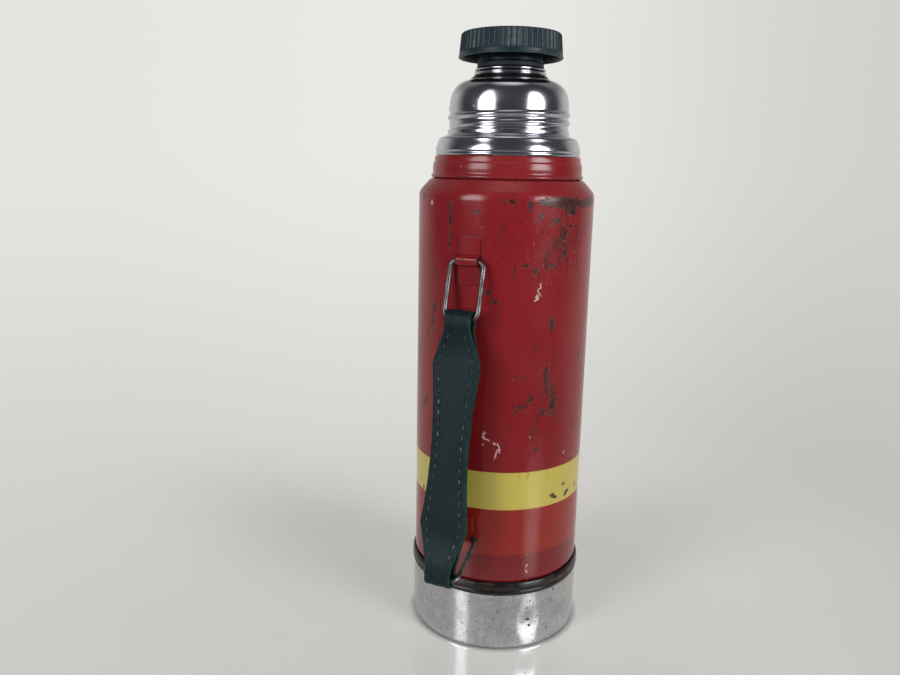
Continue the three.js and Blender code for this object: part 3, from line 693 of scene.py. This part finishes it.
# ---- neck ----
CUP_THREAD = {"radius": 31.7, "depth": 1.0, "width": 3.6, "pitch": 4.3, "turns": 1.75, "start": 281.5}
MOUTH_THREAD = {"radius": MOUTH_R, "depth": -0.8, "width": 2.4, "pitch": 4.0, "turns": 2.0, "start": 292.0}
STEM_THREAD = {"radius": 14.3, "depth": 1.1, "width": 2.4, "pitch": 4.0, "turns": 2.0, "start": 294.0}


def thread_shape(thread):
    """A turned shape with a right-handed ridge on the wall of the thread's radius."""
    fade = 0.12  # turns over which each end runs out

    def shape(angle, r, z):
        share = ((angle + math.pi) % (2 * math.pi) - math.pi) / (2 * math.pi)
        rise = (z - thread["start"]) / thread["pitch"] - share
        turn = np.round(rise) + share
        away = np.abs(rise - np.round(rise)) * thread["pitch"]
        ends = np.clip(1 + turn / fade, 0, 1) * np.clip(1 + (thread["turns"] - turn) / fade, 0, 1)
        ridge = np.cos(np.clip(away / thread["width"], 0, 0.5) * math.pi) ** 1.6
        on_wall = np.abs(r - thread["radius"]) < 0.02
        return r + thread["depth"] * ends * ridge * on_wall, z

    return shape


def make_neck():
    b = NECK_FOOT
    wall = CUP_THREAD["radius"]
    lower = rounded(
        [
            (38.7, b, 0.2), (38.98, b + 0.75, 0.5), (38.5, b + 1.5, 0.35), (38.95, b + 2.5, 0.9),
            (38.55, b + 4.5, 0.9), (37.6, b + 6.8, 0.9), (37.15, b + 8.3, 0.5), (36.3, b + 9.2, 0.8),
            (33.1, b + 10.2, 0.9), (32.5, b + 11.2, 0.9), (32.5, b + 12.9, 0.5), (wall, b + 13.7, 0.4),
            (wall, 291.4),
        ],
        0.3,
        closed=False,
    )
    dome = bezier((wall, 291.6), (wall - 0.3, 298.4), (28.4, 302.8), (21.8, 304.3), 44)
    lip = rounded(
        [
            (21.6, 304.35), (21.3, 304.45, 0.2), (19.0, 306.8, 0.3), (18.75, 307.1, 0.15),
            (19.15, 307.7, 0.3), (18.8, 308.35, 0.3), (18.4, 308.5, 0.15), (18.1, 308.4),
        ],
        0.25,
        closed=False,
    )
    inner = np.array(
        [(18.1, 305.9), (20.7, 303.6), (24.6, 302.8), (27.5, 300.5), (30.1, 296.5), (wall - 0.7, 290),
         (wall - 0.7, 280.4), (31.8, 279.0), (31.8, 275.9), (36.2, 273.6), (37.9, 269), (38.0, b)]
    )
    line = np.concatenate([lower, dome, lip, inner])
    points, faces, _ = turned(line, 256, thread_shape(CUP_THREAD))
    add_piece("threaded_neck", points, faces, "bottle", "polished_steel", ["neck_shell"])


def make_mouth():
    foot, rim = low("liner_neck"), top("liner_neck")
    wall = MOUTH_R
    line = rounded(
        [
            (wall + SHEET, foot), (wall + SHEET, rim - 1.8, 0.2), (17.8, rim - 1.3, 0.3),
            (18.5, rim - 1.35, 0.3), (18.95, rim - 0.65, 0.6), (18.2, rim, 0.5), (17.1, rim, 0.5),
            (wall, rim - 0.7, 0.3), (wall, foot),
        ],
        0.35,
    )
    points, faces, _ = turned(line, 160, thread_shape(MOUTH_THREAD))
    add_piece("mouth", points, faces, "bottle", "polished_steel", ["liner_neck"])


def make_vessel():
    foot, rim = low("liner_body"), top("liner_body")
    vessel_r = radius("liner_body")
    wall = rounded([(vessel_r, foot), (vessel_r, 222)], 4.0, closed=False)
    shoulder = bezier((vessel_r, 222), (vessel_r, 243), (19, 243), (MOUTH_R + SHEET, 258), 40)[1:]
    outer = np.concatenate([wall, shoulder, [(MOUTH_R + SHEET, rim)]])
    points, faces, _ = turned(sheet_outline(outer, SHEET, 1), 128)
    add_piece("inner_vessel", points, faces, "bottle", "vessel_steel", ["liner_body"])
    floor, seam = low("liner_bottom"), top("liner_bottom")
    bend = bezier((30, floor), (36, floor), (vessel_r, 37), (vessel_r, 43), 16)
    dish = rounded([(0, floor), (30, floor)], 3.0, closed=False)[:-1]
    outer = np.concatenate([dish, bend, [(vessel_r, seam)]])
    points, faces, _ = turned(sheet_outline(outer, SHEET, 1), 128)
    add_piece("inner_vessel_bottom", points, faces, "bottle", "vessel_steel", ["liner_bottom"])


# ---- base ----
DENT = (45.7, 13.6)  # degrees from the strap, and height


def make_base_ring():
    foot, rim = low("base_ring"), top("base_ring")
    line = rounded(
        [
            (46.9, foot), (SEAM_R - 0.6, foot, 0.3), (SEAM_R - 0.15, foot + 0.7, 0.4),
            (SEAM_R, foot + 1.6, 0.5), (SEAM_R - 0.35, foot + 2.5, 0.3), (SEAM_R - 0.3, foot + 3.1, 0.3),
            (SEAM_R, foot + 4.2, 0.8), (SEAM_R - 0.1, foot + 5.8, 0.8), (SEAM_R - 0.6, foot + 7.0, 0.6),
            (SEAM_R - 1.2, rim, 0.3), (46.9, rim - 1.5),
        ],
        0.4,
    )

    def uneven(angle, r, z):
        edge = (r > 47.5) * 0.08
        return r - edge * (1 + np.sin(7 * angle + 1) * np.sin(19 * angle)), z

    points, faces, _ = turned(line, 256, uneven)
    add_piece("seam_band", points, faces, "bottle", "seam_enamel", ["base_ring"])


def make_base_cup():
    corner, foot = 1.9, UNDERSIDE
    arc = [
        (BASE_R - corner * (1 - math.sin(a)), foot + corner * (1 - math.cos(a)))
        for a in np.linspace(0, math.pi / 2, 14)
    ]
    underside = rounded(
        [(0, foot + 0.28), (12, foot + 0.28, 1.0), (13, foot, 1.0), (26, foot, 1.0), (27, foot + 0.3, 1.0),
         (34, foot + 0.3, 1.0), (35, foot, 1.0), (BASE_R - corner, foot)],
        1.6,
        closed=False,
    )
    wall = rounded([(BASE_R, foot + corner), (BASE_R, BASE_TOP)], 0.9, closed=False)
    outer = np.concatenate([underside[:-1], arc, wall[1:]])

    def dented(angle, r, z):
        on_wall = (r > BASE_R - 2) * (z > foot + 1.5)
        turn = (angle - math.radians(DENT[0]) + math.pi) % (2 * math.pi) - math.pi
        reach = (turn * BASE_R / 5.0) ** 2 + ((z - DENT[1]) / 6.5) ** 2
        dent = 0.75 * np.exp(-reach)
        edge = np.clip((z - foot - 2) / 5, 0, 1) * np.clip((BASE_TOP - z) / 3, 0, 1)
        return r - on_wall * edge * (dent + 0.07 - waves(angle, 3 * z, 0.07)), z

    inner = sheet_outline(outer, SHEET, 2)[len(outer):]
    line = np.concatenate([outer, [p for p in inner if p[0] > 1e-6], [(0, foot + SHEET + 0.28)]])
    points, faces, angles = turned(line, 288, dented)
    marks = [(DENT[0] + 0.4, DENT[1] + 1.6, 1.2, 1.0, 0.3), (DENT[0] + 1.2, DENT[1] - 2.4, 0.7, 1.0, 0),
             (66, 29.5, 0.8, 1.2, 0), (61, 6.6, 0.9, 1.3, 0), (30, 22, 0.5, 0.6, 0), (52, 24, 0.6, 0.5, 0)]
    chip = covered(angles, points[:, 2], marks, BASE_R)
    add_piece("steel_base", points, faces, "bottle", "base_steel", ["base_cup"], attributes={"chip": chip})


# ---- stopper ----
RIBS = 60


def make_stopper_cap():
    socket, hub, ceiling = 15.9, 17.0, CAP_TOP - 3
    line = rounded(
        [
            (0, CAP_TOP - 0.7), (21.8, CAP_TOP - 0.7, 0.6), (22.8, CAP_TOP, 0.7), (25.7, CAP_TOP, 0.5),
            (26.35, CAP_TOP - 0.7, 0.4), (27.2, CAP_RIM + 2.6, 0.6), (27.3, CAP_RIM + 1.2, 0.3),
            (27.55, CAP_RIM + 0.9, 0.2), (27.55, CAP_RIM + 0.3, 0.2), (27.2, CAP_RIM, 0.2),
            (26.2, CAP_RIM, 0.3), (25.5, CAP_RIM + 1.6, 0.8), (24.5, ceiling, 0.8), (18.0, ceiling, 0.8),
            (hub, ceiling - 2.5, 0.8), (hub, HUB_FOOT, 0.3), (socket, HUB_FOOT, 0.3), (socket, ceiling),
            (0, ceiling),
        ],
        0.70,
        closed=False,
    )
    foot, crown = CAP_RIM + 2.5, CAP_TOP - 0.5

    def ribbed(angle, r, z):
        zone = np.clip((z - foot) / 0.5, 0, 1) * np.clip((crown + 0.2 - z) / 0.6, 0, 1) * (r > 25.6)
        valley = (0.5 - 0.5 * np.cos(RIBS * angle)) ** 0.6
        return r - 0.55 * zone * valley, z

    points, faces, angles = turned(line, RIBS * 8, ribbed)
    reach = np.hypot(points[:, 0], points[:, 1])
    z = points[:, 2]
    # Where highlights are painted: the rib crests, the lower rim and the top edge.
    ribs = (0.5 + 0.5 * np.cos(RIBS * angles)) ** 5 * (z > foot) * (z < crown) * (reach > 25)
    rim = np.exp(-(((z - CAP_RIM - 0.5) / 0.4) ** 2)) * (reach > 26.6)
    crown_edge = np.exp(-(((z - CAP_TOP + 0.4) / 0.4) ** 2)) * (reach > 25.4) * 0.6
    crest_highlight = {"crest_highlight": np.maximum(np.maximum(ribs, rim), crown_edge)}
    add_piece("stopper_head", points, faces, "stopper", "cap_plastic", ["stopper_cap"], attributes=crest_highlight)


def make_stopper_stem():
    foot, crown, bore = low("stopper_stem"), top("stopper_stem"), 12.7
    wall = STEM_THREAD["radius"]
    line = rounded(
        [
            (bore, foot), (13.3, foot, 0.3), (14.0, foot + 2, 0.8), (wall, foot + 4, 0.8),
            (wall, 308.5, 0.3), (15.4, 309.4, 0.3), (15.4, crown), (bore, crown),
        ],
        0.35,
    )
    points, faces, _ = turned(line, 160, thread_shape(STEM_THREAD))
    add_piece("stopper_plug", points, faces, "stopper", "stem_plastic", ["stopper_stem"])

    disc = low("stopper_end_disc")
    line = rounded(
        [
            (0, disc + 0.5), (6, disc + 0.5, 0.8), (7, disc, 0.8), (12.2, disc, 0.7),
            (13.3, disc + 0.8, 0.5), (13.3, disc + 1.3), (bore - 0.3, disc + 1.3),
            (bore - 0.3, top("stopper_end_disc"), 0.3), (0, top("stopper_end_disc")),
        ],
        0.5,
        closed=False,
    )
    points, faces, _ = turned(line, 96)
    add_piece("stopper_foot", points, faces, "stopper", "stem_plastic", ["stopper_end_disc"])


def make_stopper_gasket():
    foot, rim = low("stopper_gasket"), top("stopper_gasket")
    line = rounded([(16, foot, 0.3), (17.6, foot, 0.5), (17.6, rim, 0.6), (16, rim, 0.3)], 0.25)
    points, faces, _ = turned(line, 128)
    add_piece("stopper_seal_ring", points, faces, "stopper_seal", "rubber_seal", ["stopper_gasket"])


# ---- strap fittings ----
def make_bracket(side, pivot_z):
    """A thin strip welded to the jacket, arched over the ring's bar."""
    HALF, WIDTH, PLATE, RISE, FOOT = 12.1, 12.2, 0.6, 3.6, 0.3
    wing = np.linspace(3.6, HALF, 18)
    z = np.concatenate([-wing[::-1], np.linspace(-3.4, 3.4, 41), wing])
    arch = np.clip((3.1 - np.abs(z)) / 2.1, 0, 1)
    out = FOOT + (RISE - FOOT) * arch * arch * (3 - 2 * arch)
    line = np.stack([out, z], 1)
    ahead = directions(line)
    away = np.stack([ahead[:, 1], -ahead[:, 0]], 1)
    # The section across the strip: a flat oblong with softened edges, from the outer face round.
    soft = 0.2
    across = np.linspace(-1, 1, 15)
    edge = [(1.0, 0.85), (1.0, 0.15)]
    section = [(x, 1.0) for x in across * 0.97] + edge + [(x, 0.0) for x in across[::-1] * 0.97]
    section += [(-x, t) for x, t in reversed(edge)]
    points, chip, painted_edge_shade = [], [], []
    for (o, h), (ao, ah), row_z in zip(line, away, z):
        corner = max(0.0, abs(row_z) - (HALF - 2.0)) / 2.0
        half = WIDTH / 2 - 1.6 * (1 - math.sqrt(1 - min(1, corner) ** 2 * 0.96))
        for x, t in section:
            place_x = x * half
            sag = BODY_R - math.sqrt(BODY_R**2 - place_x**2)
            bent = sag * max(0.0, 1 - (o - FOOT) / (RISE - FOOT))
            thick = PLATE * (t - soft * 0.2 * (abs(x) > 0.96))
            points.append((place_x, -(BODY_R + o + ao * thick - bent), pivot_z + h + ah * thick))
            on_arch = abs(row_z) < 3.4
            at_edge = abs(x) > 0.9 or abs(row_z) > HALF - 0.4
            chip.append((0.55 if on_arch else 0.30) * at_edge + 0.20 * (on_arch and t > 0.5))
            # Painted shade: the plate's edges off the arch are darkened as a contact shadow against the jacket.
            painted_edge_shade.append(1.0 * at_edge * (not on_arch))
    size = len(section)
    index = np.arange(len(points)).reshape(-1, size)
    faces = grid_faces(index, False) + [tuple(index[0]), tuple(index[-1])]
    none = np.zeros(len(points))
    marks = {"chip": chip, "rub_and_edge_shade": painted_edge_shade, "scuff": none, "zone": none}
    slot = "body_enamel" if side == "upper" else "band_enamel"
    add_piece(f"{side}_loop_strip", points, faces, "bottle", slot, [f"{side}_bracket"], attributes=marks)


def tube(path, r, sides):
    """Points and faces of a closed wire along a closed path in the XZ plane."""
    ahead = np.roll(path, -1, axis=0) - np.roll(path, 1, axis=0)
    ahead /= np.linalg.norm(ahead, axis=1)[:, None]
    out = np.stack([ahead[:, 1], -ahead[:, 0]], 1)
    turn = np.arange(sides) * 2 * math.pi / sides
    across = np.cos(turn)[None, :, None] * out[:, None, :] * r
    flat = path[:, None, :] + across
    y = np.broadcast_to(-r * np.sin(turn), flat.shape[:2])
    points = np.stack([flat[..., 0], y, flat[..., 1]], -1)
    index = np.arange(len(path) * sides).reshape(len(path), sides)
    return points.reshape(-1, 3), grid_faces(index, True)


def make_ring(side, pivot, swing, body):
    """A closed oblong of wire that hangs from its pivot bar."""
    path = []
    corners = [(1, 0, 90), (1, 1, 0), (-1, 1, -90), (-1, 0, -180)]
    for sign, far, start in corners:
        height = RING_CORNER - RING_LENGTH if far else -RING_CORNER
        centre = np.array([sign * (RING_HALF - RING_CORNER), height])
        for a in np.radians(np.linspace(start, start - 90, 12)):
            path.append(centre + RING_CORNER * np.array([math.cos(a), math.sin(a)]))
    points, faces = tube(divided(np.array(path), 0.8), WIRE_R, 20)
    points += 0.035 * np.sin(points[:, [2]] / 2.7 + points[:, [0]]) * [[1, 1, 0]]
    c, s = math.cos(swing), math.sin(swing)
    y = points[:, 1] * c + points[:, 2] * s
    z = -points[:, 1] * s + points[:, 2] * c
    points = np.stack([points[:, 0], pivot[0] + y, pivot[1] + z], 1)
    add_piece(f"{side}_wire_loop", points, faces, body, "ring_wire", [f"{side}_ring"])


# ---- strap ----
LEATHER = 1.5
PLY = 0.9  # middle of a ply where two lie together
FOLD = 3.3  # middle of a ply round a ring's bar
TAIL = 19.0
POCKET_PLAY = 4.6
END, SHOULDER_W, WAIST = 7.2, 13.2, 10.2  # half widths
FLARE, UPPER_SHOULDER, LOWER_SHOULDER = 6.0, 23.5, 27.5  # distances from the ends


def strap_half_width(along):
    along = np.asarray(along, float)
    upper = along < STRAP_LENGTH / 2
    from_end = np.where(upper, along, STRAP_LENGTH - along)
    shoulder = np.where(upper, UPPER_SHOULDER, LOWER_SHOULDER)
    flare = np.clip((from_end - FLARE) / (shoulder - FLARE), 0, 1)
    waist = np.clip((from_end - shoulder) / (STRAP_LENGTH / 2 - shoulder), 0, 1)
    width = END + (SHOULDER_W - END) * flare
    return np.where(flare < 1, width, WAIST + (SHOULDER_W - WAIST) * (1 - waist) ** 2)


def softened_half_width(along):
    """The same outline with its corners rounded over a few millimetres."""
    offsets = np.linspace(-1.6, 1.6, 9)
    return sum(strap_half_width(np.asarray(along) + o) for o in offsets) / len(offsets)


def strap_place(x, along, out):
    """Points in the row frame from the strap's own: across, down its length, and outwards."""
    c, s = math.cos(STRAP_TILT), math.sin(STRAP_TILT)
    y, z = -out, -along
    return np.stack([x, UPPER_BAR[0] + y * c + z * s, UPPER_BAR[1] - y * s + z * c], -1)


def smooth_route(knots, step):
    """A smooth line through [along, out] knots."""
    knots = np.array(knots, float)
    padded = np.concatenate([[2 * knots[0] - knots[1]], knots, [2 * knots[-1] - knots[-2]]])
    line = []
    for p0, p1, p2, p3 in zip(padded, padded[1:], padded[2:], padded[3:]):
        count = max(1, math.ceil(np.linalg.norm(p2 - p1) / step))
        for t in np.arange(count) / count:
            a, b = 2 * p1, p2 - p0
            c, d = 2 * p0 - 5 * p1 + 4 * p2 - p3, -p0 + 3 * p1 - 3 * p2 + p3
            line.append((a + b * t + c * t * t + d * t**3) / 2)
    line.append(knots[-1])
    return np.array(line)


def leather_ply(route, face_side):
    """Points, faces and edge wear of a ply of leather along a route of [along, out]. face_side is 1
    where the grain side lies to the route's left."""
    ahead = directions(route)
    normal = np.stack([-ahead[:, 1], ahead[:, 0]], 1) * face_side
    count, bend = 33, 5
    across = np.linspace(-1, 1, count)
    arc = np.radians(np.linspace(90, -90, bend + 2)[1:-1])
    points, wear = [], []
    half = softened_half_width(route[:, 0])
    for (along, out), (na, no), w in zip(route, normal, half):
        row = [(x * (w - 0.7), 0.5 * LEATHER, 0.0) for x in across]
        row += [(w - 0.7 + 0.7 * math.cos(a), 0.5 * LEATHER * math.sin(a), 1.0) for a in arc]
        row += [(x * (w - 0.7), -0.5 * LEATHER, 0.0) for x in across[::-1]]
        row += [(-x, t, e) for x, t, e in reversed(row[count : count + bend])]
        for x, t, edge in row:
            inset = w - abs(x)
            groove = 0.22 * math.exp(-(((inset - 3.5) / 0.55) ** 2)) * (t > 0.3)
            swell = 0.10 * math.exp(-((inset / 1.3) ** 2)) * (t > 0.3)
            ripple = 0.05 * math.sin(along / 2.3 + 0.7 * x) * math.sin(along / 7 + x / 3) * (t > 0.3)
            t += ripple - groove - swell
            points.append((x, along + na * t, out + no * t))
            wear.append(max(edge, math.exp(-((inset / 0.9) ** 2))))
    points = np.array(points)
    size = 2 * count + 2 * bend
    index = np.arange(len(points)).reshape(-1, size)
    faces = grid_faces(index, False) + [tuple(index[0]), tuple(index[-1])]
    return strap_place(points[:, 0], points[:, 1], points[:, 2]), faces, wear


def make_strap():
    end = STRAP_LENGTH
    open_top = [(TAIL, PLY), (13, PLY + 0.45), (7, (PLY + FOLD) / 2 + 0.3), (3, FOLD)]
    half_turn = np.linspace(-math.pi / 2, math.pi / 2, 13)
    fold_top = [(-FOLD * math.cos(a), FOLD * math.sin(a)) for a in half_turn]
    back_top = [(a, -o) for a, o in open_top]
    front = [(a, PLY) for a in np.linspace(UPPER_SHOULDER, end - LOWER_SHOULDER, 12)]
    near = end - POCKET_PLAY
    close_end = [
        (near - TAIL + 1, PLY), (near - 13, PLY + 0.45), (near - 7, (PLY + FOLD) / 2 + 0.3),
        (near - 3, FOLD),
    ]
    fold_end = [(end + FOLD * math.cos(a), FOLD * math.sin(a)) for a in half_turn[::-1]]
    back_end = [(a, -o) for a, o in reversed(close_end)]
    knots = back_top + fold_top + open_top[::-1] + front + close_end + fold_end + back_end
    points, faces, wear = leather_ply(smooth_route(knots, 0.9), 1)
    add_piece("strap_front", points, faces, "strap", "strap_leather", ["strap_face"], 60, {"edge": wear})
    route = smooth_route([(a, -PLY) for a in np.linspace(TAIL + 0.3, near - TAIL - 0.3, 14)], 0.9)
    points, faces, wear = leather_ply(route, -1)
    add_piece("strap_back", points, faces, "strap", "strap_leather", ["strap_lining"], 60, {"edge": wear})


def make_stitches():
    """A row of stitches along each edge, front and back, each a short thread sunk at its ends."""
    PITCH, LONG, THICK, INSET = 5.6, 2.2, 0.34, 3.5
    points, faces = [], []
    rows, sides = 7, 8
    for out_sign in (1, -1):
        for x_sign in (1, -1):
            for start in np.arange(8.5, STRAP_LENGTH - 12, PITCH):
                base = len(points)
                for i in range(rows):
                    share = i / (rows - 1)
                    along = start + LONG * share
                    thick = THICK * (0.35 + 0.65 * math.sin(math.pi * share) ** 0.5)
                    x = x_sign * (softened_half_width(along) - INSET)
                    surface = ply_front(along) + LEATHER / 2 - 0.30 + 0.20 * math.sin(math.pi * share)
                    for k in range(sides):
                        turn = 2 * math.pi * k / sides
                        out = out_sign * (surface + thick * math.sin(turn))
                        points.append((x + thick * math.cos(turn), along, out))
                index = np.arange(base, base + rows * sides).reshape(rows, sides)
                faces += grid_faces(index, False) + [tuple(index[0]), tuple(index[-1])]
    points = np.array(points)
    placed = strap_place(points[:, 0], points[:, 1], points[:, 2])
    add_piece("strap_stitches", placed, faces, "strap", "strap_thread")


def ply_front(along):
    """How far out the middle of the front ply lies."""
    knots = [(3, FOLD), (7, (PLY + FOLD) / 2 + 0.3), (13, PLY + 0.45), (TAIL, PLY)]
    near = STRAP_LENGTH - POCKET_PLAY
    ends = [(near - a, o) for a, o in reversed(knots)]
    line = np.array(knots + ends)
    return float(np.interp(along, line[:, 0], line[:, 1]))


# ---- stage and light ----
def make_stage():
    """A pale glossy table that fades into a plain pale backdrop and gives off a little light."""
    g = Finish("table")
    x, y, _ = g.split(g.place)
    far = g.math("SQRT", g.math("ADD", g.times(x, x), g.times(y, y)))
    color = g.mix(g.step(g.noise(60, 3), 0.3, 0.7), (0.80, 0.795, 0.755), (0.82, 0.813, 0.770))
    shade = g.step(far, 0.0458, 0.0520, 0.30, 1.0)
    color = g.mix(shade, (0.0, 0.0, 0.0), color)
    inputs = {"Base Color": color, "Roughness": 0.06, "Specular IOR Level": 0.9, "IOR": 1.75}
    inputs.update({"Emission Color": color, "Emission Strength": 0.25})
    shader = g.add("BsdfPrincipled", inputs).outputs[0]
    clear = g.add("BsdfTransparent").outputs[0]
    share = g.step(far, 0.13, 0.42)
    mixed = g.add("MixShader", {0: share, 1: shader, 2: clear}).outputs[0]
    g.add("OutputMaterial", {"Surface": mixed})
    mesh = bpy.data.meshes.new("table")
    rim = [(0.7 * math.cos(a), 0.7 * math.sin(a), 0) for a in np.linspace(0, 2 * math.pi, 97)[:-1]]
    mesh.from_pydata(rim, [], [tuple(range(96))])
    mesh.materials.append(g.material)
    table = bpy.data.objects.new("table", mesh)
    bpy.context.scene.collection.objects.link(table)


def make_world():
    """A studio: pale wall behind and to the left, a dim room in front, and two tall soft windows. The
    camera itself sees a pale backdrop in its place, darker lower down and with painted shade towards the right of
    the view."""
    world = bpy.data.worlds.new("studio")
    bpy.context.scene.world = world
    world.use_nodes = True
    g = Graph(world.node_tree)
    x, y, z = g.split(g.add("TexCoord").outputs["Generated"])
    around = g.times(g.math("ARCTAN2", x, g.times(y, -1)), 180 / math.pi)
    up = g.times(g.math("ARCSINE", z), 180 / math.pi)

    def near(centre, half, soft):
        """1 within half of a direction round the bottle, falling to 0 over soft degrees more."""
        turn = g.math("SUBTRACT", around, centre)
        away = g.math("ABSOLUTE", g.math("WRAP", turn, 180.0, -180.0))
        return g.step(g.math("SUBTRACT", away, half), 0, soft, 1.0, 0.0)

    def painted_side_shade(near_side, centre, far_side):
        """A multiplier of painted shade across the backdrop, from the left of the view to its right."""
        left = g.step(g.math("ABSOLUTE", around), 128, 150, near_side, centre)
        turn = g.math("WRAP", around, 0.0, -360.0)
        right = g.step(turn, -184, -156, far_side, 1.0)
        behind = g.step(turn, -310, -220, 1.0, far_side)
        return g.times(left, g.larger(right, behind))

    room = (0.052, 0.052, 0.066)
    wall = g.mix(g.step(up, 12, 34), (0.62, 0.62, 0.60), (0.24, 0.24, 0.24))
    light = g.mix(near(-157, 50, 34), room, wall)
    light = g.mix(g.step(up, 66, 86), light, (1.00, 1.00, 0.98))
    table = g.mix(near(-157, 70, 40), (0.125, 0.125, 0.127), (0.52, 0.51, 0.49))
    light = g.mix(g.step(up, -12, -3, 1.0, 0.0), light, table)
    sill = g.step(up, -1.5, 1.5)
    half = g.step(up, 6, 50, 9.0, 0.0)
    for centre, strength, lintel in ((-22, 7.2, 49), (74, 10.0, 42)):
        head = g.step(up, 20, lintel, 1.0, 0.0)
        shape = g.times(near(centre, half, 10), g.times(head, sill))
        light = g.mix(shape, light, (strength, strength, 1.02 * strength))
    # The camera's backdrop is darker lower down, and painted shade darkens it towards the right of the view.
    backdrop = g.mix(g.step(up, -27, 2), (0.650, 0.652, 0.618), (0.815, 0.815, 0.780))
    backdrop = g.mix(painted_side_shade(0.96, 1.0, 0.78), (0.0, 0.0, 0.0), backdrop)
    seen = g.add("LightPath").outputs["Is Camera Ray"]
    color = g.mix(seen, light, backdrop)
    shader = g.add("Background", {"Color": color, "Strength": 1.0}).outputs[0]
    g.add("OutputWorld", {"Surface": shader})


make_stage()
make_world()

make_outer_shell()
make_shoulder_collar()
make_neck()
make_mouth()
make_vessel()
make_base_ring()
make_base_cup()
make_stopper_cap()
make_stopper_stem()
make_stopper_gasket()
make_bracket("upper", UPPER_PIVOT[1])
make_bracket("lower", LOWER_PIVOT[1])
make_ring("upper", UPPER_PIVOT, UPPER_SWING, "upper_strap_ring")
make_ring("lower", LOWER_PIVOT, LOWER_SWING, "lower_strap_ring")
make_strap()
make_stitches()

# The pieces inside keep their CAD shape and take their slot's material.
slot_of = {row["node"]: row["material_slot"] for row in frame["record"]["subparts"]}
for name, node in frame["nodes"].items():
    node.data.materials.clear()
    node.data.materials.append(MATERIALS[slot_of[name]])

bpy.context.view_layer.update()
